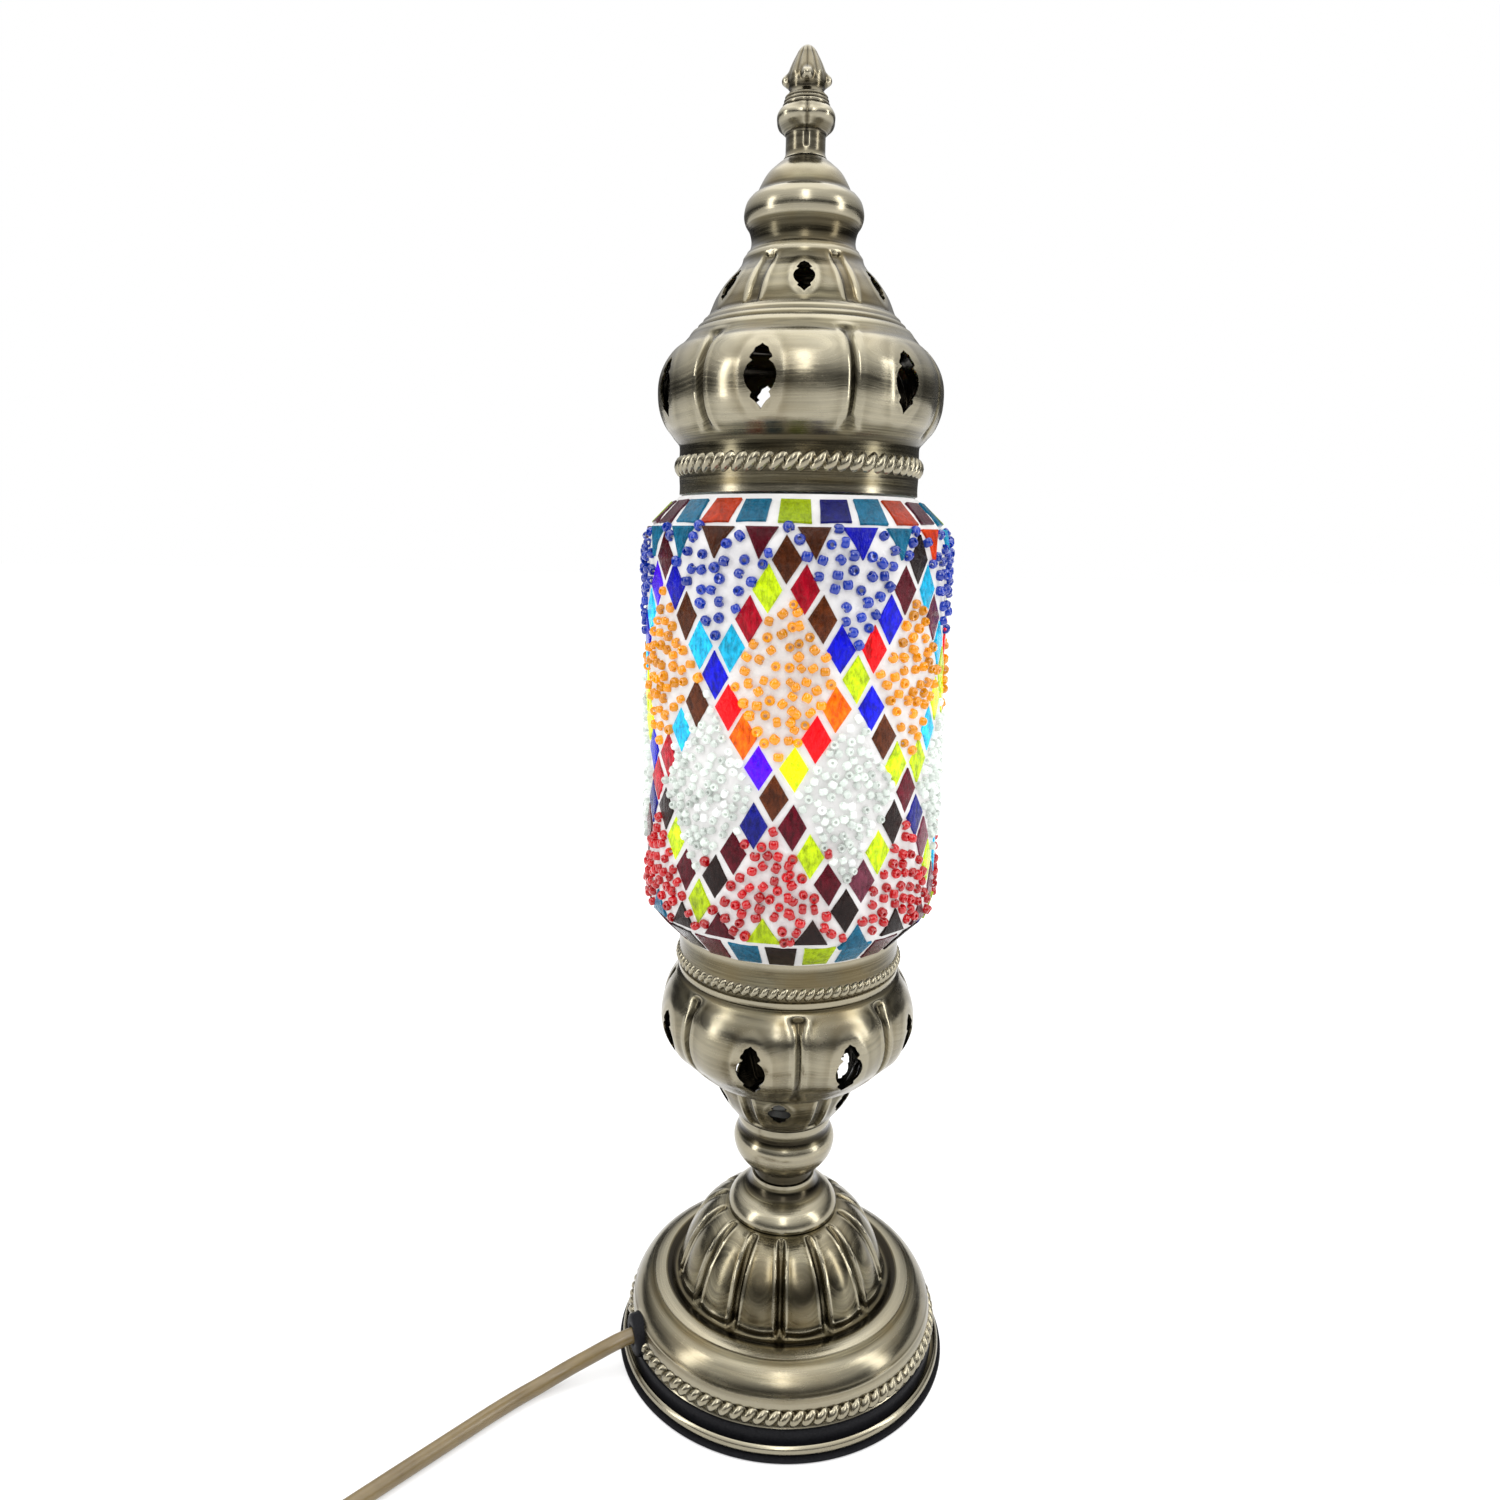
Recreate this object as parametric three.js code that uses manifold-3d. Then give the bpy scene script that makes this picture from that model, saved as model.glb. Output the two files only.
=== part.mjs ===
// A mosaic glass table lamp. A fluted brass base and a turned neck carry a lobed bowl. The bowl's
// gallery holds a glass cylinder that is covered with mosaic, and a lobed hood with a cast finial
// stands on the glass. Millimetres, +Z up. The origin is the middle of the foot's underside, and the
// front of the lamp faces -Y. Angles are degrees round +Z, counted from the front towards +X.
import * as THREE from 'three';
import { mergeVertices } from 'three/addons/utils/BufferGeometryUtils.js';
import Module from 'manifold-3d';

const wasm = await Module();
wasm.setup();

// ---- driving dimensions ----
const GAP = 0.3; // between pieces that rest on each other
const SHEET = 0.9; // thickness of the spun brass

const FOOT_R = 65;
const FOOT_H = 1.6;
const PAN_R = 63.6;
const PAN_H = 3.7;
const CORE_R = 61;
const CORE_TOP = 9.9;
const BASE_TOP = 58;
const FLUTES = 14;
const FLUTE_DEPTH = 2.6;

const BELL_R = 21.4;
const BELL_TOP = 72.6;
const NECK_R = 11.5;
const BALL_R = 19.6;
const BALL_Z = 87.4;
const BALL_TOP = 99.3;

const BOWL_BOTTOM = 99.6;
const BOWL_R = 48.4;
const BOWL_WIDEST = 143.5;
const BOWL_LOBES = 8;
const GALLERY_R = 41;
const GALLERY_TOP = 176.3;
const CONE_PANES = 6; // panes of each small cone

const MOSAIC_R = 52.7;
const MOSAIC_T = 2.3;
const GLASS_T = 2.6;
const GLASS_NECK_R = 39.4;
const GLASS_BOTTOM = 166.3;
const GLASS_TOP = 342;
const LOW_SHOULDER = 136.2; // height less radius along the lower shoulder's 45 degree slope
const HIGH_SHOULDER = 371.8; // height plus radius along the upper shoulder's 45 degree slope

const HOOD_BOTTOM = 332;
const HOOD_R = 48.4;
const HOOD_WIDEST = 365;
const HOOD_LOBES = 7;
const HOOD_TOP = 438;
const LOBE_GROOVE = 2.4;

const ROD_R = 5;
const ROD_BORE_R = 3.6;
const ROD_BOTTOM = 3;
const ROD_TOP = 179;
const SEAT_Z = 164.6; // underside of the plate that the glass stands on

const HOLDER_Z = 171;
const HOLDER_TOP = 213;
const BULB_R = 22.5;
const BULB_CENTRE = 245;

const CORD_R = 2.9;
const CORD_EXIT_ANGLE = -66;
const CORD_EXIT_Z = 15.1;
const GROMMET_R = 7.85;
const GROMMET_BORE_LENGTH = 24;
const GROMMET_BORE_SIDES = 14;
const GROMMET_FACE = 62.4; // distance of the grommet's outer face from the axis

// ---- materials ----
const antiqueBrass = { color: 0x8f8668, roughness: 0.34, metalness: 1 };
const plainBrass = { color: 0xb89a55, roughness: 0.35, metalness: 1 };
const zincSteel = { color: 0xa7a9a8, roughness: 0.4, metalness: 1 };
const blackIron = { color: 0x15151a, roughness: 0.55, metalness: 0.2 };
const blackRubber = { color: 0x17181b, roughness: 0.7, metalness: 0 };
const clearGlass = { color: 0xdfe8e6, roughness: 0.05, metalness: 0 };
const whiteGrout = { color: 0xe9e6e2, roughness: 0.8, metalness: 0 };
const goldCord = { color: 0x86713d, roughness: 0.35, metalness: 0 };
const goldPlastic = { color: 0x9a8347, roughness: 0.4, metalness: 0 };
const whitePlastic = { color: 0xe6e3da, roughness: 0.45, metalness: 0 };

const lamp = new THREE.Group();

// Adds a closed geometry as a named mesh.
function add(name, geometry, finish) {
  const mesh = new THREE.Mesh(geometry, new THREE.MeshStandardMaterial(finish));
  mesh.name = name;
  lamp.add(mesh);
  return mesh;
}

// ---- geometry helpers ----

// Merges shared vertices, drops collapsed triangles and turns the faces outwards.
function tidy(source, tolerance = 1e-4) {
  const bare = source.index ? source.toNonIndexed() : source.clone();
  for (const key of Object.keys(bare.attributes)) {
    if (key !== 'position') bare.deleteAttribute(key);
  }
  const merged = mergeVertices(bare, tolerance);
  const kept = [];
  const corner = merged.index.array;
  for (let i = 0; i < corner.length; i += 3) {
    const [a, b, c] = [corner[i], corner[i + 1], corner[i + 2]];
    if (a !== b && b !== c && c !== a) kept.push(a, b, c);
  }
  if (signedVolume(merged, kept) < 0) {
    for (let i = 0; i < kept.length; i += 3) {
      [kept[i + 1], kept[i + 2]] = [kept[i + 2], kept[i + 1]];
    }
  }
  merged.setIndex(kept);
  return merged;
}

function signedVolume(geometry, triangles) {
  const p = geometry.attributes.position;
  const [a, b, c] = [new THREE.Vector3(), new THREE.Vector3(), new THREE.Vector3()];
  let six = 0;
  for (let i = 0; i < triangles.length; i += 3) {
    a.fromBufferAttribute(p, triangles[i]);
    b.fromBufferAttribute(p, triangles[i + 1]);
    c.fromBufferAttribute(p, triangles[i + 2]);
    six += a.dot(b.cross(c));
  }
  return six / 6;
}

function solid(geometry) {
  const closed = tidy(geometry);
  return new wasm.Manifold(new wasm.Mesh({
    numProp: 3,
    vertProperties: new Float32Array(closed.attributes.position.array),
    triVerts: new Uint32Array(closed.index.array),
  }));
}

function fromSolid(manifold) {
  const mesh = manifold.getMesh();
  const geometry = new THREE.BufferGeometry();
  geometry.setAttribute('position', new THREE.BufferAttribute(new Float32Array(mesh.vertProperties), 3));
  geometry.setIndex(new THREE.BufferAttribute(new Uint32Array(mesh.triVerts), 1));
  return geometry;
}

function cut(geometry, cutters) {
  let left = solid(geometry);
  for (const cutter of cutters) left = left.subtract(solid(cutter));
  return tidy(fromSolid(left), 0.02);
}

// Turns a closed outline of [radius, height] points round +Z, with one row of corners at phase.
function turned(outline, segments, phase = 0) {
  const points = [...outline, outline[0]].map(([r, z]) => new THREE.Vector2(r, z));
  const start = THREE.MathUtils.degToRad(phase);
  return tidy(new THREE.LatheGeometry(points, segments, start).rotateX(Math.PI / 2));
}

// A disc with a hole, or a tube, from its radii and heights.
function ring(inner, outer, bottom, top, segments) {
  return turned([[inner, bottom], [outer, bottom], [outer, top], [inner, top]], segments);
}

// Points along lines and curves. Each step is [r, z] for a line, or [control r, control z, r, z].
function profile(start, steps, divisions = 3) {
  const path = new THREE.Path();
  path.moveTo(...start);
  for (const step of steps) {
    if (step.length === 2) path.lineTo(...step);
    else path.quadraticCurveTo(...step);
  }
  return path.getPoints(divisions).map((p) => [p.x, p.y]);
}

// The closed outline of a sheet that lies inside an outer profile drawn from the top down. Its inner
// side leaves out the small beads and steps.
function sheetOutline(outer, thickness) {
  const inner = outer.map(([r, z], i) => {
    const before = outer[Math.max(i - 1, 0)];
    const after = outer[Math.min(i + 1, outer.length - 1)];
    const [dr, dz] = [after[0] - before[0], after[1] - before[1]];
    const length = Math.hypot(dr, dz);
    return [r + (dz / length) * thickness, z - (dr / length) * thickness];
  });
  const plain = inner.filter((point, i) => {
    if (i === 0 || i === inner.length - 1) return true;
    return Math.hypot(outer[i + 1][0] - outer[i][0], outer[i + 1][1] - outer[i][1]) > 2.5;
  });
  return [...outer, ...plain.reverse()];
}

// Presses grooves into a turned sheet. depthAt gives a groove's depth at a height, and sharpness
// how narrow the groove is.
function groove(geometry, count, phase, sharpness, depthAt) {
  const p = geometry.attributes.position;
  for (let i = 0; i < p.count; i += 1) {
    const [x, y, z] = [p.getX(i), p.getY(i), p.getZ(i)];
    const r = Math.hypot(x, y);
    const angle = Math.atan2(x, -y) - THREE.MathUtils.degToRad(phase);
    const press = depthAt(z) * Math.abs(Math.cos((count * angle) / 2)) ** sharpness;
    p.setXY(i, (x * (r - press)) / r, (y * (r - press)) / r);
  }
  return geometry;
}

// A smooth rise from 0 to 1 and back to 0 between two heights.
function between(z, low, high) {
  if (z <= low || z >= high) return 0;
  return Math.sin((Math.PI * (z - low)) / (high - low)) ** 0.7;
}

// Turns a geometry that is drawn in x (right) and y (up) so that it faces outwards at an angle.
function facing(geometry, degrees, radius, height) {
  const a = THREE.MathUtils.degToRad(degrees);
  const right = new THREE.Vector3(Math.cos(a), Math.sin(a), 0);
  const out = new THREE.Vector3(Math.sin(a), -Math.cos(a), 0);
  const matrix = new THREE.Matrix4().makeBasis(right, new THREE.Vector3(0, 0, 1), out);
  matrix.setPosition(out.x * radius, out.y * radius, height);
  return geometry.clone().applyMatrix4(matrix);
}

// The outline of a pierced ornament: a round middle between two pointed ogees.
function ornament(width, height) {
  const [w, h] = [width / 2, height / 2];
  const shape = new THREE.Shape();
  shape.moveTo(0, -h);
  shape.quadraticCurveTo(0.3 * w, -0.8 * h, 0.62 * w, -0.62 * h);
  shape.lineTo(0.62 * w, -0.46 * h);
  shape.quadraticCurveTo(1.3 * w, 0, 0.62 * w, 0.46 * h);
  shape.lineTo(0.62 * w, 0.62 * h);
  shape.quadraticCurveTo(0.3 * w, 0.8 * h, 0, h);
  shape.quadraticCurveTo(-0.3 * w, 0.8 * h, -0.62 * w, 0.62 * h);
  shape.lineTo(-0.62 * w, 0.46 * h);
  shape.quadraticCurveTo(-1.3 * w, 0, -0.62 * w, -0.46 * h);
  shape.lineTo(-0.62 * w, -0.62 * h);
  shape.quadraticCurveTo(-0.3 * w, -0.8 * h, 0, -h);
  return shape;
}

// Cutters for a row of pierced ornaments.
function piercings(count, phase, width, height, radius, z) {
  const options = { depth: 26, bevelEnabled: false, curveSegments: 1 };
  const cutter = new THREE.ExtrudeGeometry(ornament(width, height), options);
  return Array.from({ length: count }, (_, i) => facing(cutter, phase + (i * 360) / count, radius, z));
}

function hexNut(across, hole, bottom, top) {
  const shape = new THREE.Shape();
  for (let i = 0; i < 6; i += 1) {
    const a = (i * Math.PI) / 3;
    const r = across / Math.sqrt(3);
    if (i === 0) shape.moveTo(r, 0);
    else shape.lineTo(r * Math.cos(a), r * Math.sin(a));
  }
  shape.closePath();
  shape.holes.push(new THREE.Path().absarc(0, 0, hole, 0, 2 * Math.PI, true));
  const options = { depth: top - bottom, bevelEnabled: false, curveSegments: 6 };
  return tidy(new THREE.ExtrudeGeometry(shape, options).translate(0, 0, bottom));
}

// A round bar along a smooth line through the points.
function bar(points, radius, sides, steps) {
  const section = new THREE.Shape();
  section.absarc(0, 0, radius, 0, 2 * Math.PI);
  const line = new THREE.CatmullRomCurve3(points.map((p) => new THREE.Vector3(...p)));
  const options = { steps, extrudePath: line, bevelEnabled: false, curveSegments: sides };
  return tidy(new THREE.ExtrudeGeometry(section, options));
}

// ---- base ----
function buildBase() {
  add('foot_pad', ring(16, FOOT_R, 0, FOOT_H, 32), blackRubber);

  const panFloor = FOOT_H + GAP;
  add('base_pan', turned([
    [5.4, panFloor], [PAN_R, panFloor], [PAN_R, panFloor + PAN_H], [PAN_R - 1, panFloor + PAN_H],
    [PAN_R - 1, panFloor + 1], [5.4, panFloor + 1],
  ], 32), antiqueBrass);

  const coreFloor = panFloor + 1 + GAP;
  const boreR = GROMMET_R + GAP;
  const bore = new THREE.CylinderGeometry(boreR, boreR, GROMMET_BORE_LENGTH, GROMMET_BORE_SIDES);
  bore.rotateX(Math.PI / 2);
  const forGrommet = facing(bore, CORD_EXIT_ANGLE, GROMMET_FACE, CORD_EXIT_Z);
  const ballast = turned([
    [5.4, coreFloor + 4.2], [12, coreFloor + 4.2], [12, coreFloor], [CORE_R, coreFloor],
    [CORE_R, CORE_TOP], [5.4, CORE_TOP],
  ], 32);
  add('ballast_disc', cut(ballast, [forGrommet]), blackIron);

  const outer = profile([5.6, BASE_TOP], [
    [19.5, BASE_TOP],
    [36.5, 52.5, 40.5, 31.2],
    [41.2, 29.2], [42.8, 28.9],
    [44.2, 30.6], [50.4, 30.6],
    [56.6, 28.2, 58.6, 22.4],
    [59.7, 17.5],
    [61.7, 15.2], [61.7, 12.4], [60.2, 10.2],
  ]);
  const inFlutes = (z) => FLUTE_DEPTH * between(z, 27.5, BASE_TOP - SHEET);
  const shell = groove(turned(sheetOutline(outer, SHEET), 4 * FLUTES), FLUTES, 0, 3, inFlutes);
  add('base_shell', cut(shell, [forGrommet]), antiqueBrass);

  const washerZ = BASE_TOP - SHEET - 1.6;
  add('base_washer', ring(ROD_R + GAP, 11, washerZ, washerZ + 1.2, 14), zincSteel);
  add('base_jam_nut', hexNut(16, ROD_R + GAP, washerZ - 4.3, washerZ - GAP), zincSteel);
  add('foot_nut', hexNut(17, ROD_R + GAP, coreFloor, coreFloor + 3.9), zincSteel);
}

// The rubber ring in the base's side wall, which the cord leaves through.
function buildGrommet() {
  const bore = CORD_R + 2 * GAP;
  const back = -7.5;
  const body = turned([
    [bore, back], [GROMMET_R, back], [GROMMET_R, -1.2], [GROMMET_R - 1.2, 0], [bore, 0],
  ], 16);
  add('cord_grommet', facing(body, CORD_EXIT_ANGLE, GROMMET_FACE, CORD_EXIT_Z), blackRubber);
}

// ---- neck ----
function buildNeck() {
  add('base_bell', turned(profile([5.4, BELL_TOP], [
    [12.4, BELL_TOP],
    [12.6, 67.6, 15.8, 65.6], [16.6, 65.2],
    [21.2, 64.2, BELL_R, 60.2], [20.9, BASE_TOP + GAP], [5.4, BASE_TOP + GAP],
  ]), 24), antiqueBrass);
  add('neck_sleeve', ring(5.4, NECK_R, BELL_TOP + GAP, 80, 20), antiqueBrass);
  add('neck_ball', turned(profile([5.4, BALL_TOP], [
    [18.2, BALL_TOP], [18, 98.2],
    [15.4, 95.4, 17.9, 92.4],
    [20.2, 90.2, BALL_R, BALL_Z],
    [18.8, 82.6, 14.2, 81.6], [13.3, 80 + GAP], [5.4, 80 + GAP],
  ]), 24), antiqueBrass);
  const slot = new THREE.BoxGeometry(12, 7, 22).translate(-6, 0, 24);
  const tube = ring(ROD_BORE_R, ROD_R, ROD_BOTTOM, ROD_TOP, 16);
  add('threaded_rod', cut(tube, [slot]), zincSteel);
}

// ---- bowl ----
function buildBowl() {
  const outer = profile([GALLERY_R + 0.3, GALLERY_TOP], [
    [GALLERY_R - 0.1, 168.2], [GALLERY_R + 0.9, 166.4], [GALLERY_R + 0.9, 164.2],
    [GALLERY_R - 0.5, 162.2], [41.8, 158.4],
    [47.8, 152.5, BOWL_R, BOWL_WIDEST],
    [BOWL_R, 133, 38.8, 125],
    [29.2, 118.2],
    [29.2, 111.5, 18.8, BOWL_BOTTOM], [5.6, BOWL_BOTTOM],
  ], 2);
  const pressed = (z) => LOBE_GROOVE * between(z, 119, 159);
  const shell = groove(turned(sheetOutline(outer, SHEET), 4 * BOWL_LOBES, 5.5), BOWL_LOBES, 5.5, 5, pressed);
  const windows = [
    ...piercings(BOWL_LOBES, -17, 9, 19, 34, 146.5 - 8),
    ...piercings(CONE_PANES, -4, 7, 8.6, 15, 110.5),
  ];
  add('bowl_shell', cut(shell, windows), antiqueBrass);

  const floor = BOWL_BOTTOM + SHEET + GAP;
  add('bowl_washer', ring(ROD_R + GAP, 13, floor, floor + 1.4, 14), zincSteel);
  add('bowl_jam_nut', hexNut(16, ROD_R + GAP, floor + 1.7, floor + 6), zincSteel);
  add('seat_under_nut', hexNut(16, ROD_R + GAP, SEAT_Z - 4.3, SEAT_Z - GAP), zincSteel);
  const vents = [0, 120, 240].map((degrees) => {
    const a = THREE.MathUtils.degToRad(degrees);
    const vent = new THREE.CylinderGeometry(5, 5, 8, 10).rotateX(Math.PI / 2);
    return vent.translate(24 * Math.sin(a), -24 * Math.cos(a), SEAT_Z);
  });
  const plate = ring(ROD_R + GAP, 39.2, SEAT_Z, SEAT_Z + 1.4, 28);
  add('glass_seat_plate', cut(plate, vents), zincSteel);
  add('seat_nut', hexNut(16, ROD_R + GAP, SEAT_Z + 1.7, HOLDER_Z - GAP), zincSteel);
}

// ---- lamp holder and bulb ----
function buildHolder() {
  add('holder_body', turned([
    [ROD_R + GAP, HOLDER_Z], [12.2, HOLDER_Z], [13.8, HOLDER_Z + 3], [13.8, HOLDER_TOP - 8],
    [12.6, HOLDER_TOP], [11.2, HOLDER_TOP], [11.8, HOLDER_TOP - 8],
    [11.8, HOLDER_Z + 4], [ROD_R + GAP, HOLDER_Z + 4],
  ], 20), whitePlastic);
  add('holder_insulator', ring(1.8, 11.2, 183.5, 187.5, 16), whitePlastic);
  add('holder_contact', turned([
    [0, 187.8], [3.2, 187.8], [3.2, 188.6], [2, 190.6], [0, 190.6],
  ], 12), plainBrass);
  add('holder_screw_shell', ring(7.4, 8.2, 187.8, HOLDER_TOP - 2, 20), plainBrass);
}

function buildBulb() {
  add('bulb_contact', turned([[0, 191], [1.6, 191], [2.6, 192.2], [0, 192.2]], 12), zincSteel);
  add('bulb_cap', turned([
    [0, 192.5], [3.4, 192.5], [6.8, 195.5], [6.8, 215.4], [0, 215.4],
  ], 20), zincSteel);
  const neck = 215.7;
  const outer = profile([0, BULB_CENTRE + BULB_R], [
    [12.8, BULB_CENTRE + BULB_R, BULB_R * 0.76, BULB_CENTRE + BULB_R * 0.66],
    [25.6, BULB_CENTRE + 2, 19.5, BULB_CENTRE - 11.5],
    [15.4, BULB_CENTRE - 20, 8.4, neck + 6], [6.6, neck + 3], [6.6, neck],
  ], 3);
  const inner = outer.map(([r, z]) => [Math.max(r - 0.9, 0), z - (r < 1 ? 0.9 : 0)]).reverse();
  add('bulb_envelope', turned([...outer, ...inner], 16), clearGlass);
  add('bulb_stem', ring(1.2, 2.6, neck, BULB_CENTRE - 10, 10), clearGlass);
}

// ---- glass ----
function buildGlass() {
  const shoulders = (r, offset) => {
    const slope = offset * Math.SQRT2;
    const [low, high] = [LOW_SHOULDER + slope, HIGH_SHOULDER - slope];
    const bend = 1.8;
    return { r: r - offset, low, high, bend };
  };
  // From the top of the upper slope down to the foot of the lower one, offset inwards.
  const side = (offset, topR, footR) => {
    const s = shoulders(MOSAIC_R, offset);
    return profile([topR, s.high - topR], [
      [s.r - 3.2, s.high - s.r + 3.2],
      [s.r, s.high - s.r - 0.4, s.r, s.high - s.r - 5],
      [s.r, s.low + s.r + 5],
      [s.r, s.low + s.r + 0.4, s.r - 3.2, s.low + s.r - 3.2],
      [footR, s.low + footR],
    ], 2);
  };
  const sleeveEnd = GLASS_NECK_R + 0.5;
  const sleeve = [...side(0, sleeveEnd, sleeveEnd), ...side(MOSAIC_T, sleeveEnd, sleeveEnd).reverse()];
  add('mosaic_sleeve', turned(sleeve, 28), whiteGrout);

  const outside = MOSAIC_T + GAP;
  const inside = outside + GLASS_T;
  const bore = GLASS_NECK_R - GLASS_T;
  const glass = [
    [GLASS_NECK_R, GLASS_TOP], ...side(outside, GLASS_NECK_R, GLASS_NECK_R), [GLASS_NECK_R, GLASS_BOTTOM],
    [bore, GLASS_BOTTOM], ...side(inside, bore, bore).reverse(), [bore, GLASS_TOP],
  ];
  add('glass_vessel', turned(glass, 28), clearGlass);
}

// ---- hood and finial ----
function buildHood() {
  const outer = profile([2.8, HOOD_TOP], [
    [6.8, HOOD_TOP],
    [13, 436.5, 16.1, 428], [17.4, 427.2],
    [20.8, 424.4, 19.8, 421],
    [19, 417.2, 17.3, 413.4], [20.6, 405.7],
    [27.6, 399.4, 31.4, 389.2],
    [34.2, 385.6], [38, 382.6],
    [47.6, 378, HOOD_R, HOOD_WIDEST],
    [HOOD_R + 0.2, 354.5, 41.6, 349], [40.8, 345.4],
    [42.3, 342.6], [42.3, 339.8], [40.9, 337.2], [GALLERY_R, HOOD_BOTTOM],
  ], 2);
  const lobes = (z) => LOBE_GROOVE * between(z, 348, 383);
  const panes = (z) => 1.4 * between(z, 388.4, 406.5);
  const lobed = groove(turned(sheetOutline(outer, SHEET), 4 * HOOD_LOBES, 17), HOOD_LOBES, 17, 5, lobes);
  const shell = groove(lobed, CONE_PANES, 31, 6, panes);
  const windows = [
    ...piercings(HOOD_LOBES, 17 - 180 / HOOD_LOBES, 10.4, 18.6, 34, 365.2),
    ...piercings(CONE_PANES, 1, 6.8, 10.4, 16, 397.6),
  ];
  add('hood_shell', cut(shell, windows), antiqueBrass);

  const under = HOOD_TOP - SHEET - GAP;
  add('finial_washer', ring(2.6, 5, under - 1, under, 12), zincSteel);
  add('finial_nut', hexNut(8, 2.6, under - 5, under - 1 - GAP), zincSteel);
  add('finial', turned(profile([0, 473], [
    [4.6, 470.6, 6.6, 462.6], [8.6, 461.8], [8.9, 459.6], [6.5, 456.8],
    [7, 455, 9.3, 451.6],
    [10.1, 449, 6.5, 446.6], [6.5, HOOD_TOP + 1.8], [7.8, HOOD_TOP + 1.2], [7.8, HOOD_TOP + GAP],
    [2.3, HOOD_TOP + GAP], [2.3, under - 6.5], [0, under - 6.5],
  ], 2), 16), antiqueBrass);
}

// ---- cord ----
// The cord leaves the grommet, sinks to the table and runs off to the front left. Past the front
// corner it has an inline switch, and then the rest of it lies in a coil with the plug beside it.
const SWITCH_LENGTH = 62;
const SWITCH_WIDTH = 27;
const SWITCH_MIDDLE = [-152.6, -155];
const SWITCH_SPLIT = 6.6;
const SWITCH_TOP = 13.8;
const COIL_CENTRE = [-90, -174];
const COIL_OUTER = 43; // radius of the outermost turn's centreline
const COIL_INNER = 25;
const COIL_LAYER = 5.4; // rise from the lower layer to the upper one
const PLUG_START = [-7.8, -157];
const PLUG_Z = 7.2;

const CORD_TO_SWITCH = [
  [-49.7, -22.1, 15.1], [-54.2, -24.1, 15.1], [-58.4, -25.9, 14.8], [-63.2, -27.8, 13.5],
  [-68.4, -29.6, 11.4], [-73.6, -31.2, 9.1], [-78.8, -32.9, 6.9], [-84.2, -35.4, 4.9],
  [-90.2, -39.2, 3.4], [-97, -44.8, 2.9], [-104.4, -52.2, 2.9], [-112.4, -60.8, 2.9],
  [-122.8, -72, 2.9], [-133, -83, 2.9], [-143.4, -94.4, 2.9], [-148.4, -100.8, 3],
  [-151.4, -107.6, 3.6], [-152.5, -114.6, 5], [-152.6, -120, 6.2], [-152.6, -123.5, 6.6],
];
const CORD_TO_COIL = [
  [-152.6, -186.5, 6.6], [-152.3, -192.6, 6], [-149.8, -201.8, 4.2], [-144.2, -209.6, 3],
  [-136, -215.2, 2.9], [-126.2, -217, 2.9], [-113, -217, 2.9],
];
const CORD_TO_PLUG = [
  [-40.8, -188, 2.9], [-40.5, -179.6, 2.9], [-38.3, -171.2, 3.1], [-33.3, -164, 3.9],
  [-25.5, -158.9, 5.4], [-16.1, -157, 6.9], [-8.2, -157, 7.2],
];

function buildCord() {
  add('cord_to_switch', bar(CORD_TO_SWITCH, CORD_R, 4, 32), goldCord);
  add('cord_to_coil', bar(CORD_TO_COIL, CORD_R, 4, 12), goldCord);
  add('cord_to_plug', bar(CORD_TO_PLUG, CORD_R, 4, 10), goldCord);
  const coil = ring(COIL_INNER - CORD_R, COIL_OUTER + CORD_R, 0, 2 * CORD_R + COIL_LAYER, 32);
  add('cord_coil', coil.translate(...COIL_CENTRE, 0), goldCord);
}

// An outline with rounded corners, centred on the origin.
function roundedPlate(width, length, radius) {
  const shape = new THREE.Shape();
  const [x, y] = [width / 2 - radius, length / 2 - radius];
  shape.absarc(x, y, radius, 0, Math.PI / 2);
  shape.absarc(-x, y, radius, Math.PI / 2, Math.PI);
  shape.absarc(-x, -y, radius, Math.PI, 1.5 * Math.PI);
  shape.absarc(x, -y, radius, 1.5 * Math.PI, 2 * Math.PI);
  return shape;
}

function slab(shape, bottom, top) {
  const options = { depth: top - bottom, bevelEnabled: false, curveSegments: 3 };
  return tidy(new THREE.ExtrudeGeometry(shape, options).translate(0, 0, bottom));
}

function buildSwitch() {
  const outline = roundedPlate(SWITCH_WIDTH, SWITCH_LENGTH, 9);
  const [x, y] = SWITCH_MIDDLE;
  add('switch_base', slab(outline, 0.2, SWITCH_SPLIT - GAP / 2).translate(x, y, 0), goldPlastic);
  const pocket = new THREE.BoxGeometry(12.8, 22.8, 12).translate(0, 0, SWITCH_TOP);
  const cover = cut(slab(outline, SWITCH_SPLIT + GAP / 2, SWITCH_TOP), [pocket]);
  add('switch_cover', cover.translate(x, y, 0), goldPlastic);
  const rocker = new THREE.Shape();
  rocker.moveTo(-10, 4.2);
  rocker.quadraticCurveTo(-5, 0.6, 0, 1.2);
  rocker.quadraticCurveTo(5, 1, 10, 2.4);
  rocker.lineTo(9.2, -1.6);
  rocker.quadraticCurveTo(0, -4.6, -9.2, -1.6);
  rocker.closePath();
  const options = { depth: 11.6, bevelEnabled: false, curveSegments: 4 };
  const body = new THREE.ExtrudeGeometry(rocker, options).translate(0, 0, -5.8);
  const turnedBody = body.rotateX(Math.PI / 2).rotateZ(Math.PI / 2).translate(x, y, SWITCH_TOP - 0.8);
  add('switch_rocker', tidy(turnedBody), goldPlastic);
}

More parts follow.
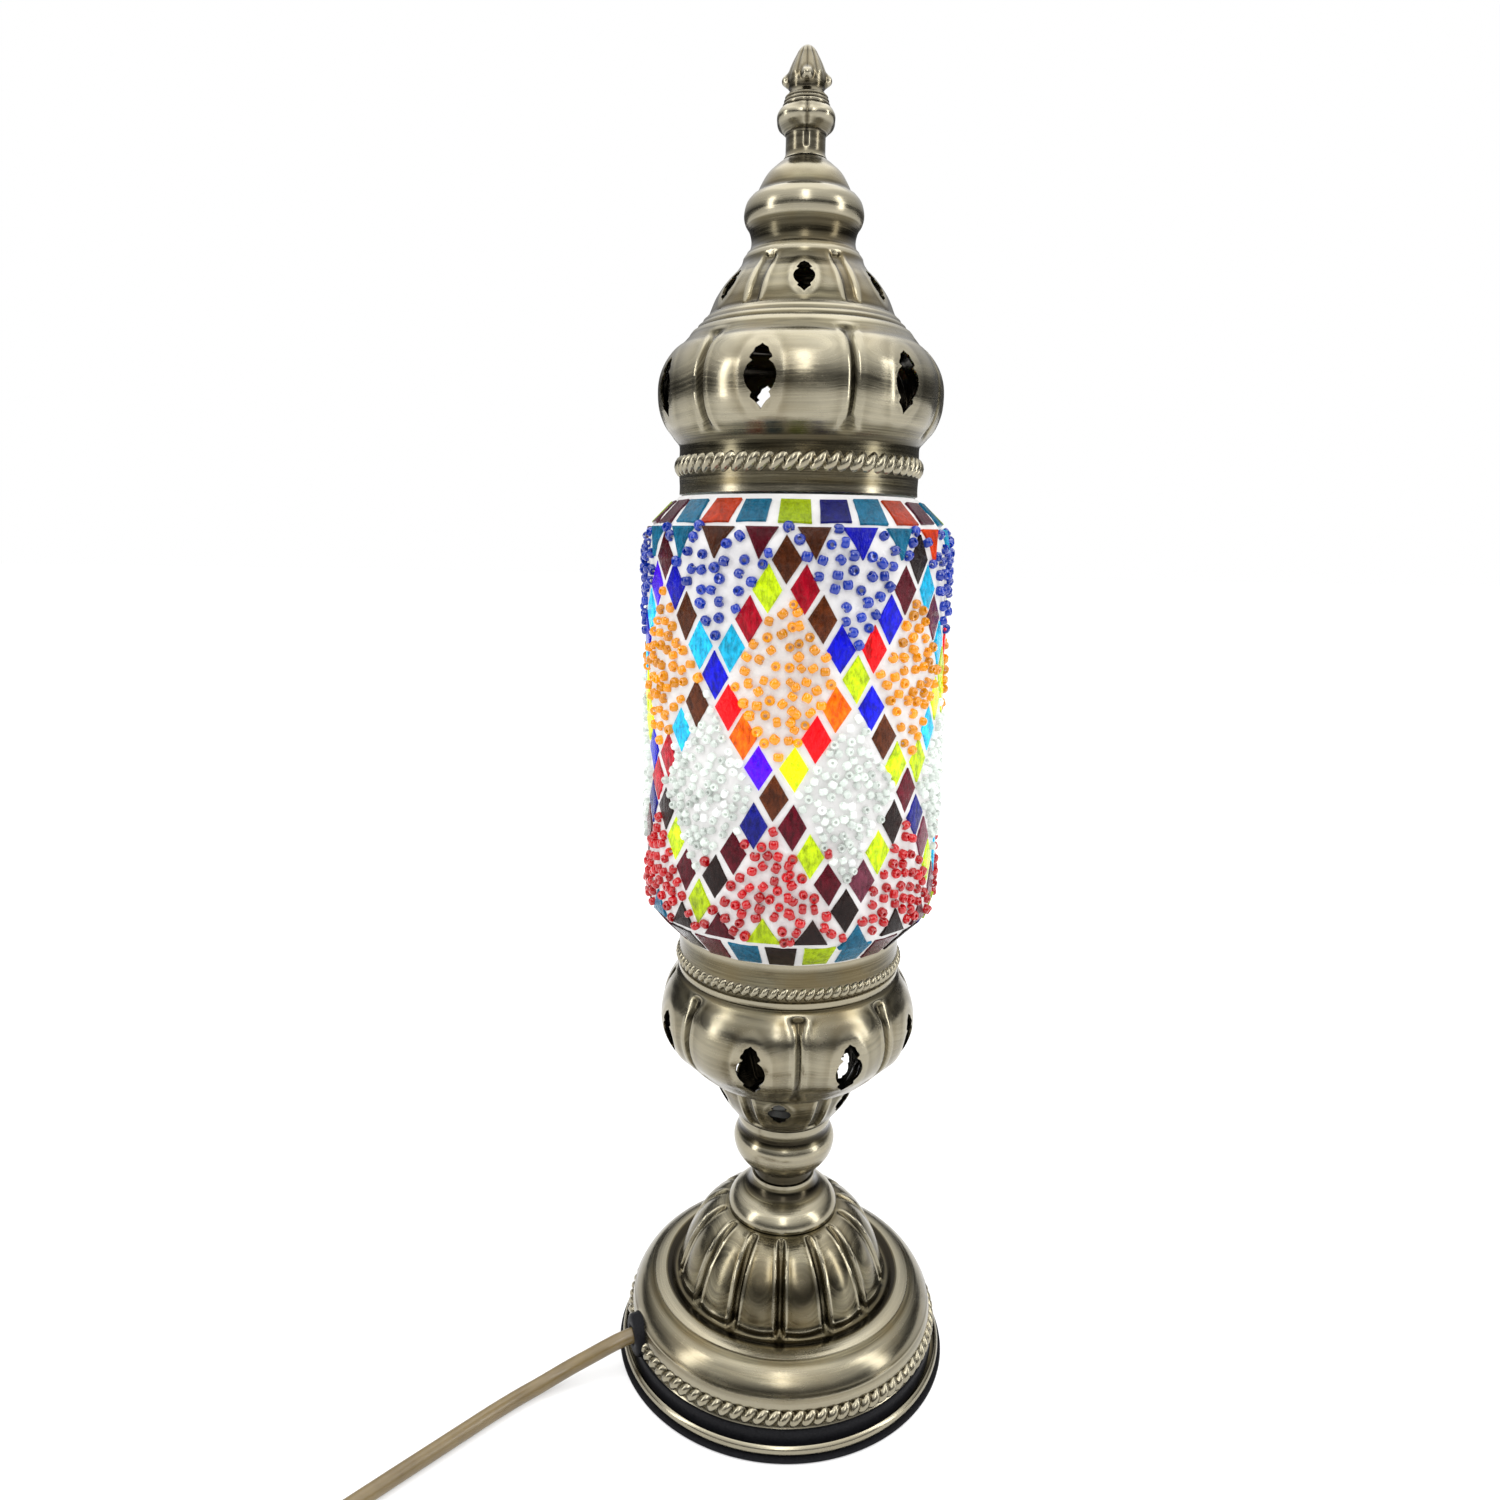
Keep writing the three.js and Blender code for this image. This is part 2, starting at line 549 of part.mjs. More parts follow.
function buildPlug() {
  const [x, y] = PLUG_START;
  const outline = new THREE.Shape();
  outline.moveTo(0, 4.6);
  outline.lineTo(8, 5.4);
  outline.quadraticCurveTo(14, 6.4, 17, 12);
  outline.quadraticCurveTo(18.4, 13, 21, 13);
  outline.lineTo(35.4, 12.4);
  outline.lineTo(35.4, -12.4);
  outline.lineTo(21, -13);
  outline.quadraticCurveTo(18.4, -13, 17, -12);
  outline.quadraticCurveTo(14, -6.4, 8, -5.4);
  outline.lineTo(0, -4.6);
  outline.closePath();
  add('plug_body', slab(outline, PLUG_Z - 6.8, PLUG_Z + 6.8).translate(x, y, 0), goldPlastic);
  for (const [name, side] of [['plug_pin_left', 1], ['plug_pin_right', -1]]) {
    const pin = new THREE.CylinderGeometry(2, 2, 19, 14).rotateZ(Math.PI / 2);
    add(name, tidy(pin.translate(x + 35.7 + 9.5, y + side * 9.3, PLUG_Z)), zincSteel);
  }
}

// The two insulated leads, bound together, from the grommet through the base and up the rod.
function buildLeads() {
  add('inner_lead', bar([
    [-45, -20, 15.1], [-34, -15, 15.1], [-22, -8.4, 15.6], [-12, -2.6, 17.4], [-5, -0.4, 22],
    [-1.2, 0, 29], [0, 0, 38], [0, 0, 80], [0, 0, 130], [0, 0, 170], [0, 0, 183.2],
  ], 1.7, 4, 24), blackRubber);
}

buildBase();
buildGrommet();
buildNeck();
buildBowl();
buildHolder();
buildBulb();
buildGlass();
buildHood();
buildCord();
buildSwitch();
buildPlug();
buildLeads();

export default lamp;
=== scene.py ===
"""The looks of a mosaic glass table lamp: antiqued brass, a lit glass cylinder covered with cut glass and
seed beads, and a vinyl cord with its switch and plug. Sizes are millimetres unless a name says metres,
and angles are degrees round +Z, counted from the front (-Y) towards +X."""
import math
import random
from collections import namedtuple

import bmesh
import bpy
import numpy as np
from mathutils import Matrix, Vector


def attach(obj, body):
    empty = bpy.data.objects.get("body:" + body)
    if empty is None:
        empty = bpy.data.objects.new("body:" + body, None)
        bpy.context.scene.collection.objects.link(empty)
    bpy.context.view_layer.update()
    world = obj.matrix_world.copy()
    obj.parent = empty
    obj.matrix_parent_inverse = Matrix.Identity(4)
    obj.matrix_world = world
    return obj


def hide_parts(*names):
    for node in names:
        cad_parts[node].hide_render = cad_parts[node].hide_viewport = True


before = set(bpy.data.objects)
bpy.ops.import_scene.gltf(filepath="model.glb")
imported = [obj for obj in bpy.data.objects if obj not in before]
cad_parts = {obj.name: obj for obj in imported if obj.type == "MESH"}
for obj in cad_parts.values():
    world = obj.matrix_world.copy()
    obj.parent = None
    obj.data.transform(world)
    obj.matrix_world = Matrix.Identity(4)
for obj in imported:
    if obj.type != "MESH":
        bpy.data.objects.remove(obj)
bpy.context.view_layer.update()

MM = 0.001
SHEET = 0.9  # thickness of the spun brass
CORD_DIAMETER = 5.8
CORD_EXIT_ANGLE = -66
CORD_EXIT_Z = 15.1
GROMMET_FACE = 62.4  # how far from the axis the grommet's outer face is
GROMMET_RADIUS = 7.9  # of the bore that the grommet fills
BULB_CENTRE = 245

HOOD_GROOVES = (-92, -41, 20, 72, 122, 172, 220)
HOOD_WINDOWS = (-65, -14.5, 43, 97, 147, 196, 244)
BOWL_GROOVES = (-88, -48, 5.5, 49, 92, 137, 182, 227)
BOWL_WINDOWS = (-65, -14.5, 27.5, 69, 115, 160, 205, 250)
CONE_GROOVES = tuple(range(30, 390, 60))
FLUTES = 14

# Rows of mosaic nodes: their heights, and the angles of the nodes in each row.
NODE_ROWS = (
    (311.5, (-54, -3, 47.5, 100, 151, 203, 254)),
    (275, (-28.5, 22, 72, 125, 177, 228, 280)),
    (237, (-60, -6, 46, 97, 149, 200, 250)),
    (199, (-35, 20.5, 72, 123, 174, 225, 275)),
)
TINTS = {
    "lime": (0.42, 0.56, 0.005), "yellow": (0.70, 0.82, 0.004), "teal": (0.006, 0.15, 0.27),
    "cyan": (0.010, 0.42, 0.66), "blue": (0.003, 0.004, 0.42), "navy": (0.006, 0.008, 0.17),
    "violet": (0.07, 0.001, 0.75), "wine": (0.085, 0.001, 0.008), "crimson": (0.30, 0.001, 0.012),
    "red": (0.72, 0.002, 0.006), "orange": (0.78, 0.12, 0.002), "rust": (0.55, 0.042, 0.003),
    "brown": (0.070, 0.016, 0.003), "black": (0.014, 0.005, 0.004), "mauve": (0.11, 0.022, 0.040),
}

# In a bead's row, light is how strong its painted glow is.
Bead = namedtuple("Bead", "radius spacing light tint")
BEADS = {
    "blue": Bead(1.75, 4.05, 1.0, (0.003, 0.036, 0.42)),
    "amber": Bead(1.65, 3.75, 1.0, (0.86, 0.33, 0.001)),
    "clear": Bead(1.45, 2.75, 0.7, (0.86, 0.93, 0.87)),
    "red": Bead(1.7, 3.55, 1.0, (0.56, 0.002, 0.006)),
}

Window = namedtuple("Window", "angle z width tall near")  # near is where its cutter starts, inside the shell


# ---- small helpers ----
def directions(angle):
    """The level directions to the right and outwards at an angle round the lamp."""
    a = math.radians(angle)
    return Vector((math.cos(a), math.sin(a), 0)), Vector((math.sin(a), -math.cos(a), 0))


def ramp(value, low, high):
    """0 below low, 1 above high, and smooth between, for numbers and arrays."""
    t = np.clip((np.asarray(value, float) - low) / (high - low), 0, 1)
    return t * t * (3 - 2 * t)


def turn_gap(angles, centre):
    """The signed gap in degrees from a centre, for arrays of angles."""
    return (np.asarray(angles) - centre + 180) % 360 - 180


def curve_through(points, spacing=0.7):
    """A smooth line through a few points, as closely spaced points."""
    p = np.array(points, float)
    if len(p) < 3:
        steps = max(1, int(np.linalg.norm(p[-1] - p[0]) / spacing))
        return [tuple(p[0] + (p[-1] - p[0]) * i / steps) for i in range(steps + 1)]
    ends = np.vstack([2 * p[0] - p[1], p, 2 * p[-1] - p[-2]])
    line = []
    for a, b, c, d in zip(ends, ends[1:], ends[2:], ends[3:]):
        steps = max(1, int(np.linalg.norm(c - b) / spacing))
        slope, bend, twist = c - a, 2 * a - 5 * b + 4 * c - d, 3 * b - a - 3 * c + d
        line += [tuple(0.5 * (2 * b + slope * t + bend * t**2 + twist * t**3))
                 for t in (i / steps for i in range(steps))]
    return line + [tuple(p[-1])]


def outline(*stretches, spacing=0.7):
    """One line of (radius, height) points from stretches that are smooth inside and creased between."""
    line = []
    for stretch in stretches:
        part = curve_through(stretch, spacing)
        line += part[1:] if line and np.allclose(line[-1], part[0]) else part
    return line


def sheet(outer, thickness=SHEET):
    """The closed outline of a sheet inside an outline that is drawn from the top down."""
    p = np.array(outer)
    n = len(p)
    before = p[np.maximum(np.arange(n) - 3, 0)]
    after = p[np.minimum(np.arange(n) + 3, n - 1)]
    run = after - before
    length = np.maximum(np.hypot(run[:, 0], run[:, 1]), 1e-6)
    inner = p + np.stack([run[:, 1], -run[:, 0]], 1) / length[:, None] * thickness
    inner[:, 0] = np.maximum(inner[:, 0], 0.4)
    return [tuple(q) for q in p] + [tuple(q) for q in inner[::-1]]


def mesh_of(name, vertices, faces):
    """A mesh whose vertices are given in millimetres."""
    mesh = bpy.data.meshes.new(name)
    mesh.from_pydata([Vector(v) * MM for v in vertices], [], faces)
    return mesh


def into_scene(name, data):
    made = bpy.data.objects.new(name, data)
    bpy.context.scene.collection.objects.link(made)
    return made


def make_object(name, vertices, faces, body, material, replaces=(), crease=38):
    """A mesh piece that rides on a body. Vertices are millimetres."""
    return finish_object(into_scene(name, mesh_of(name, vertices, faces)), body, material, replaces, crease)


def finish_object(piece, body, material, replaces=(), crease=38):
    """Cleans and shades a mesh piece, gives it its material, puts it on its body and hides the frame's parts
    that it replaces.
    """
    mesh = piece.data
    bm = bmesh.new()
    bm.from_mesh(mesh)
    bmesh.ops.remove_doubles(bm, verts=bm.verts, dist=1e-7)
    bmesh.ops.recalc_face_normals(bm, faces=bm.faces)
    bm.to_mesh(mesh)
    bm.free()
    mesh.shade_smooth()
    mesh.set_sharp_from_angle(angle=math.radians(crease))
    mesh.materials.clear()
    mesh.materials.append(material)
    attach(piece, body)
    if replaces:
        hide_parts(*replaces)
    slot = material.name.split(".")[0]  # Blender numbers the names that the frame's materials have too
    return piece


def spun(line, segments, shape=None, closed=True):
    """Vertices and faces of an outline turned round +Z. shape(r, z, angle) may move each radius."""
    p = np.array(line, float)
    angles = np.arange(segments) * 360.0 / segments
    r = np.repeat(p[:, 0:1], segments, 1)
    z = np.repeat(p[:, 1:2], segments, 1)
    a = np.repeat(angles[None, :], len(p), 0)
    if shape:
        r = shape(r, z, a)
    x = r * np.sin(np.radians(a))
    y = -r * np.cos(np.radians(a))
    vertices = np.stack([x, y, z], -1).reshape(-1, 3)
    rows = len(p) if closed else len(p) - 1
    faces = []
    for i in range(rows):
        j = (i + 1) % len(p)
        for k in range(segments):
            m = (k + 1) % segments
            faces.append((i * segments + k, i * segments + m, j * segments + m, j * segments + k))
    return vertices, faces


def turned_piece(name, line, segments, body, material, replaces, shape=None, crease=38):
    vertices, faces = spun(line, segments, shape)
    return make_object(name, vertices, faces, body, material, replaces, crease)


def mark_patina_and_light(piece, passes=14, scale=0.16, painted_shade_inside=False, least=-1.0, most=1.5):
    """Stores how far each point lies in a hollow, as the attribute that the brass's patina follows. Points
    that stand out get values below nought, which the brass paints as a highlight. With the inside asked for,
    every face of a hollow shell that looks inwards is set fully dark: painted shade, for the shade inside the
    shell."""
    mesh = piece.data
    n = len(mesh.vertices)
    place, normal = np.empty(n * 3), np.empty(n * 3)
    mesh.vertices.foreach_get("co", place)
    mesh.vertices.foreach_get("normal", normal)
    place, normal = place.reshape(-1, 3) / MM, normal.reshape(-1, 3)
    edge = np.empty(len(mesh.edges) * 2, int)
    mesh.edges.foreach_get("vertices", edge)
    a, b = edge.reshape(-1, 2).T
    links = np.bincount(a, minlength=n) + np.bincount(b, minlength=n)
    soft = place.copy()
    for _ in range(passes):
        total = np.zeros_like(soft)
        np.add.at(total, a, soft[b])
        np.add.at(total, b, soft[a])
        soft = 0.4 * soft + 0.6 * total / np.maximum(links, 1)[:, None]
    hollow = np.clip(np.einsum("ij,ij->i", soft - place, normal) / scale, least, most)
    # Painted shade: faces that look into the shell are set fully dark.
    if painted_shade_inside:
        x, y = place[:, 0], place[:, 1]
        outward = (normal[:, 0] * x + normal[:, 1] * y) / np.hypot(x, y)
        hollow[outward < -0.12] = 1.5
    layer = mesh.attributes.new("patina_and_painted_light", "FLOAT", "POINT")
    layer.data.foreach_set("value", hollow.astype(np.float32))
    return piece


# ---- materials ----
class Paint:
    """A material's node tree, with short calls for the nodes that it needs."""

    def __init__(self, name):
        self.material = bpy.data.materials.new(name)
        self.material.use_nodes = True
        self.nodes = self.material.node_tree.nodes
        self.links = self.material.node_tree.links
        self.shader = self.nodes["Principled BSDF"]
        self.output = self.nodes["Material Output"]

    def link(self, source, target):
        self.links.new(source, target)

    def feed(self, socket, value):
        """Links another node's socket, or sets a plain value."""
        if isinstance(value, bpy.types.NodeSocket):
            self.link(value, socket)
        else:
            socket.default_value = value

    def set(self, **values):
        for key, value in values.items():
            self.feed(self.shader.inputs[key.replace("_", " ")], value)

    def split(self, vector):
        node = self.nodes.new("ShaderNodeSeparateXYZ")
        self.link(vector, node.inputs[0])
        return node.outputs

    def place(self):
        return self.nodes.new("ShaderNodeTexCoord").outputs["Object"]

    def attribute(self, name, output="Fac"):
        node = self.nodes.new("ShaderNodeAttribute")
        node.attribute_name = name
        return node.outputs[output]

    def math(self, operation, *values):
        node = self.nodes.new("ShaderNodeMath")
        node.operation = operation
        for socket, value in zip(node.inputs, values):
            self.feed(socket, value)
        return node.outputs[0]

    def stretch(self, x, y, z):
        node = self.nodes.new("ShaderNodeMapping")
        node.inputs["Scale"].default_value = (x, y, z)
        self.link(self.place(), node.inputs["Vector"])
        return node.outputs[0]

    def noise(self, vector, scale, detail=3.0, roughness=0.55):
        node = self.nodes.new("ShaderNodeTexNoise")
        node.inputs["Scale"].default_value = scale
        node.inputs["Detail"].default_value = detail
        node.inputs["Roughness"].default_value = roughness
        self.link(vector, node.inputs["Vector"])
        return node.outputs["Fac"]

    def spread(self, value, low, high, to_low=0.0, to_high=1.0):
        node = self.nodes.new("ShaderNodeMapRange")
        self.link(value, node.inputs["Value"])
        for key, number in zip(("From Min", "From Max", "To Min", "To Max"), (low, high, to_low, to_high)):
            node.inputs[key].default_value = number
        return node.outputs[0]

    def mix(self, factor, first, second, blend="MIX"):
        node = self.nodes.new("ShaderNodeMix")
        node.data_type = "RGBA"
        node.blend_type = blend
        for index, value in ((0, factor), (6, first), (7, second)):
            self.feed(node.inputs[index], (*value, 1) if isinstance(value, tuple) else value)
        return node.outputs[2]

    def bump(self, height, distance, strength=1.0):
        node = self.nodes.new("ShaderNodeBump")
        node.inputs["Strength"].default_value = strength
        node.inputs["Distance"].default_value = distance
        self.link(height, node.inputs["Height"])
        self.link(node.outputs[0], self.shader.inputs["Normal"])
        return self.material

    def glow(self, low, high):
        """Painted glow: an emission strength that is higher near the bulb's height, in place of the bulb's
        light shining out through the mosaic.
        """
        height = self.split(self.place())["Z"]
        away = self.math("SUBTRACT", height, (BULB_CENTRE + 8) * MM)
        return self.spread(self.math("ABSOLUTE", away), 0.012, 0.075, high, low)


def antique_brass(name, streaks=1250.0, light=(0.172, 0.152, 0.098), dark=(0.016, 0.013, 0.009)):
    """Brass that was darkened, brushed round and round, and lacquered. Streaks are counted by the metre.
    Its dark is patina in the hollows and painted shade inside the shells and on the neck tube, and what stands
    out gets a painted highlight.
    """
    paint = Paint(name)
    x, y, z = paint.split(paint.place())
    reach = paint.math("SQRT", paint.math("ADD", paint.math("MULTIPLY", x, x), paint.math("MULTIPLY", y, y)))
    along = paint.math("ADD", z, paint.math("MULTIPLY", reach, 1.7))
    joined = paint.nodes.new("ShaderNodeCombineXYZ")
    for socket, value, scale in zip(joined.inputs, (x, y, along), (26.0, 26.0, streaks)):
        paint.link(paint.math("MULTIPLY", value, scale), socket)
    streak = paint.noise(joined.outputs[0], 1.0, 3.0, 0.7)
    blotch = paint.noise(paint.place(), 42.0, 4.0, 0.6)
    stain = paint.noise(paint.stretch(1, 1, 2.2), 95.0, 5.0, 0.65)
    hollow = paint.attribute("patina_and_painted_light")
    worn = paint.mix(paint.spread(streak, 0.34, 0.66), tuple(c * 0.36 for c in light), light)
    worn = paint.mix(paint.spread(blotch, 0.44, 0.66, 0.0, 0.62), worn, (0.118, 0.088, 0.041))
    worn = paint.mix(paint.spread(stain, 0.60, 0.76, 0.0, 0.45), worn, (0.060, 0.044, 0.025))
    # Patina in the hollows, and painted shade where the shells' insides and the neck tube are marked fully
    # dark.
    colour = paint.mix(paint.spread(hollow, 0.12, 1.35, 0.0, 0.92), worn, dark)
    # Painted highlight: what stands out is lightened towards pale brass.
    colour = paint.mix(paint.spread(hollow, -0.12, -0.7, 0.0, 0.45), colour, (0.50, 0.46, 0.35))
    brushed = paint.spread(streak, 0.25, 0.8, 0.15, 0.31)
    rough = paint.math("ADD", brushed, paint.spread(stain, 0.5, 0.8, 0.0, 0.12))
    paint.set(Base_Color=colour, Metallic=1.0, Roughness=rough)
    return paint.bump(paint.math("ADD", streak, paint.math("MULTIPLY", stain, 0.5)), 0.00006, 0.5)


def grained(name, shades, cloud, grain, rough, relief, **gloss):
    """A plain material. Its shade follows one noise, and its roughness and relief follow another. The noises
    are (scale, detail), and the relief is (depth, strength)."""
    paint = Paint(name)
    fine = paint.noise(paint.place(), *grain)
    slow = paint.noise(paint.place(), *cloud) if cloud else fine
    paint.set(Base_Color=paint.mix(paint.spread(slow, 0.3, 0.7), *shades))
    paint.set(Roughness=paint.spread(fine, 0.2, 0.8, *rough), **gloss)
    return paint.bump(fine, *relief)


def plated(name, colour):
    shades = (tuple(c * 0.75 for c in colour), colour)
    return grained(name, shades, None, (900.0, 3.0), (0.25, 0.45), (0.00004, 0.4), Metallic=1.0)


def dull_black(name, rough):
    shades = ((0.005, 0.005, 0.006), (0.012, 0.012, 0.014))
    return grained(name, shades, None, (1500.0, 3.0), (rough - 0.1, rough + 0.12), (0.0001, 0.5),
                   Specular_IOR_Level=0.08)


def moulded(name, colour, rough=0.32):
    shades = (tuple(c * 0.82 for c in colour), colour)
    return grained(name, shades, (60.0, 3.0), (2600.0, 2.0), (rough - 0.06, rough + 0.08), (0.00003, 0.4),
                   Coat_Weight=0.25, Coat_Roughness=0.15)


def vinyl_cord(name):
    """Gold-brown vinyl, a little translucent."""
    shades = ((0.120, 0.082, 0.029), (0.170, 0.121, 0.048))
    return grained(name, shades, (120.0, 3.0), (1400.0, 2.0), (0.28, 0.40), (0.00003, 0.3),
                   Subsurface_Weight=0.15, Subsurface_Radius=(0.004, 0.003, 0.0012), Subsurface_Scale=0.4,
                   Coat_Weight=0.3, Coat_Roughness=0.2)


def white_grout(name):
    paint = Paint(name)
    sand = paint.noise(paint.place(), 1500.0, 4.0)
    cloud = paint.noise(paint.place(), 120.0, 3.0)
    shade = paint.mix(paint.spread(cloud, 0.35, 0.75), (0.64, 0.63, 0.625), (0.54, 0.53, 0.525))
    paint.set(Base_Color=shade, Roughness=0.7, Emission_Color=(1.0, 0.97, 0.94, 1))
    # Painted glow: the grout gets a little emission near the bulb's height.
    paint.set(Emission_Strength=paint.glow(0.05, 0.11))
    lumps = paint.math("ADD", paint.math("MULTIPLY", sand, 0.35), cloud)
    return paint.bump(lumps, 0.0009, 0.55)


def cut_glass(name):
    """Coloured sheet glass with ripples and small flaws, and a painted glow in place of the light from behind.
    """
    paint = Paint(name)
    tint = paint.attribute("tint", "Color")
    ripple = paint.noise(paint.stretch(1, 1, 0.45), 620.0, 4.0, 0.65)
    flaw = paint.noise(paint.place(), 240.0, 5.0, 0.7)
    shade = paint.mix(paint.spread(flaw, 0.40, 0.66, 0.0, 0.5), tint, (0.10, 0.09, 0.08), "MULTIPLY")
    # Painted glow: each tile's own strength times the glow near the bulb, broken up by the ripples into
    # painted glints.
    bright = paint.math("MULTIPLY", paint.attribute("light"), paint.glow(0.14, 0.95))
    bright = paint.math("MULTIPLY", bright, paint.spread(ripple, 0.38, 0.62, 0.2, 1.75))
    paint.set(Base_Color=shade, Roughness=0.08, Transmission_Weight=0.5, IOR=1.32)
    paint.set(Emission_Color=tint, Emission_Strength=bright, Specular_IOR_Level=0.22)
    return paint.bump(ripple, 0.0009, 0.6)


def bead_glass(name):
    paint = Paint(name)
    tint = paint.attribute("tint", "Color")
    cloud = paint.noise(paint.place(), 500.0, 2.0)
    shade = paint.mix(paint.spread(cloud, 0.3, 0.7, 0.6, 1.0), tint, (0.62, 0.62, 0.62), "MULTIPLY")
    # Painted glow: emission in the bead's own colour, stronger near the bulb's height.
    bright = paint.math("MULTIPLY", paint.attribute("light"), paint.glow(0.14, 0.42))
    paint.set(Base_Color=shade, Roughness=0.04, Transmission_Weight=0.22, IOR=1.45, Coat_Weight=0.5)
    paint.set(Emission_Color=tint, Emission_Strength=bright)
    return paint.bump(cloud, 0.00015, 0.3)


def clear_glass(name):
    """Thin clear glass: mostly see-through, with a soft reflection at the edges."""
    paint = Paint(name)
    clear = paint.nodes.new("ShaderNodeBsdfTransparent")
    clear.inputs["Color"].default_value = (0.93, 0.97, 0.95, 1)
    smear = paint.noise(paint.place(), 90.0, 3.0)
    paint.set(Base_Color=(0.9, 0.95, 0.93, 1), Roughness=paint.spread(smear, 0.3, 0.7, 0.04, 0.12))
    edge = paint.nodes.new("ShaderNodeFresnel")
    edge.inputs["IOR"].default_value = 1.45
    mixed = paint.nodes.new("ShaderNodeMixShader")
    for source, socket in zip((edge, clear, paint.shader), mixed.inputs):
        paint.link(source.outputs[0], socket)
    paint.link(mixed.outputs[0], paint.output.inputs["Surface"])
    return paint.material


def lit_bulb(name):
    paint = Paint(name)
    cloud = paint.noise(paint.place(), 30.0, 2.0)
    paint.set(Base_Color=(0.60, 0.53, 0.40, 1), Roughness=0.35)
    paint.set(Emission_Color=(1.0, 0.74, 0.38, 1), Emission_Strength=paint.spread(cloud, 0.3, 0.7, 0.38, 0.5))
    return paint.material


BRASS = antique_brass("antique_brass")
CAST_BRASS = antique_brass("cast_brass", 500.0, (0.20, 0.183, 0.134), (0.013, 0.011, 0.008))
STEEL = plated("zinc_steel", (0.38, 0.38, 0.37))
PLAIN_BRASS = plated("plain_brass", (0.78, 0.58, 0.28))
IRON = dull_black("black_iron", 0.42)
FELT = dull_black("black_felt", 0.75)
RUBBER = dull_black("black_rubber", 0.5)
CORD = vinyl_cord("gold_cord")
GOLD_PLASTIC = moulded("gold_plastic", (0.205, 0.145, 0.056))
WHITE_PLASTIC = moulded("white_plastic", (0.76, 0.74, 0.68), 0.45)
GROUT = white_grout("white_grout")
CUT_GLASS = cut_glass("cut_glass")
BEAD_GLASS = bead_glass("bead_glass")
CLEAR_GLASS = clear_glass("clear_glass")
BULB_GLASS = lit_bulb("lit_bulb_glass")


# ---- camera, floor and light ----
def add_camera():
    """The camera stands a little above the lamp's bowl and looks slightly down and left."""
    focal_share = 1031.43 / 1500  # focal length as a share of the picture's width
    sensor = 36.0
    yaw, pitch, roll = (math.radians(v) for v in (2.394, -11.539, 0.784))
    ahead = Vector((-math.sin(yaw) * math.cos(pitch), math.cos(yaw) * math.cos(pitch), math.sin(pitch)))
    right = ahead.cross(Vector((0, 0, 1))).normalized()
    up = right.cross(ahead)
    turn = Matrix.Rotation(-roll, 3, ahead)
    data = bpy.data.cameras.new("camera")
    data.sensor_width = sensor
    data.lens = sensor * focal_share
    data.clip_start = 0.01
    camera = into_scene("camera", data)
    place = Matrix.Translation(Vector((0, -368.75, 317.24)) * MM)
    camera.matrix_world = place @ Matrix((turn @ right, turn @ up, -ahead)).transposed().to_4x4()
    bpy.context.scene.camera = camera


def add_floor():
    half = 9000
    corners = [(-half, -half, 0), (half, -half, 0), (half, half, 0), (-half, half, 0)]
    floor = into_scene("floor", mesh_of("floor", corners, [(0, 1, 2, 3)]))
    paint = Paint("pale_floor")
    cloud = paint.noise(paint.place(), 1.5, 2.0)
    shade = paint.mix(paint.spread(cloud, 0.3, 0.7), (0.60, 0.60, 0.605), (0.62, 0.62, 0.62))
    paint.set(Base_Color=shade, Roughness=0.6, Emission_Color=(1, 1, 1, 1), Emission_Strength=0.34)
    floor.data.materials.append(paint.material)


def add_light(name, place, target, size, power):
    data = bpy.data.lights.new(name, "AREA")
    data.shape = "RECTANGLE"
    data.size, data.size_y = size
    data.energy = power
    light = into_scene(name, data)
    light.location = place
    light.rotation_euler = (Vector(target) - Vector(place)).to_track_quat("-Z", "Y").to_euler()


def add_world():
    """White behind the lamp, and for light a room that is bright above and dim at the sides."""
    world = bpy.data.worlds.new("studio")
    bpy.context.scene.world = world
    world.use_nodes = True
    nodes, links = world.node_tree.nodes, world.node_tree.links
    seen = nodes["Background"]
    seen.inputs["Color"].default_value = (1, 1, 1, 1)
    where = nodes.new("ShaderNodeTexCoord")
    split = nodes.new("ShaderNodeSeparateXYZ")
    links.new(where.outputs["Generated"], split.inputs[0])
    lift = nodes.new("ShaderNodeMath")
    lift.operation = "MULTIPLY_ADD"
    lift.inputs[1].default_value = lift.inputs[2].default_value = 0.5
    links.new(split.outputs["Z"], lift.inputs[0])
    shade = nodes.new("ShaderNodeValToRGB")
    for stop, position, grey in zip(shade.color_ramp.elements, (0.60, 0.93), (0.05, 1.0)):
        stop.position = position
        stop.color = (grey, grey, grey, 1)
    links.new(lift.outputs[0], shade.inputs[0])
    room = nodes.new("ShaderNodeBackground")
    room.inputs["Strength"].default_value = 2.0
    links.new(shade.outputs[0], room.inputs["Color"])
    path = nodes.new("ShaderNodeLightPath")
    mixed = nodes.new("ShaderNodeMixShader")
    links.new(path.outputs["Is Camera Ray"], mixed.inputs[0])
    links.new(room.outputs[0], mixed.inputs[1])
    links.new(seen.outputs[0], mixed.inputs[2])
    links.new(mixed.outputs[0], nodes["World Output"].inputs["Surface"])


def add_studio():
    add_camera()
    add_floor()
    add_world()
    middle = (0, 0, 0.25)
    add_light("key_softbox", (0.05, -1.15, 1.15), middle, (0.24, 1.0), 4.5)
    add_light("left_strip", (-1.1, -0.5, 0.6), middle, (0.22, 1.1), 5)
    add_light("right_strip", (1.1, -0.35, 0.6), middle, (0.22, 1.1), 5)
    add_light("overhead", (0, 0.2, 1.7), (0, 0, 0), (1.6, 1.6), 6)
    bpy.context.scene.view_settings.view_transform = "Standard"


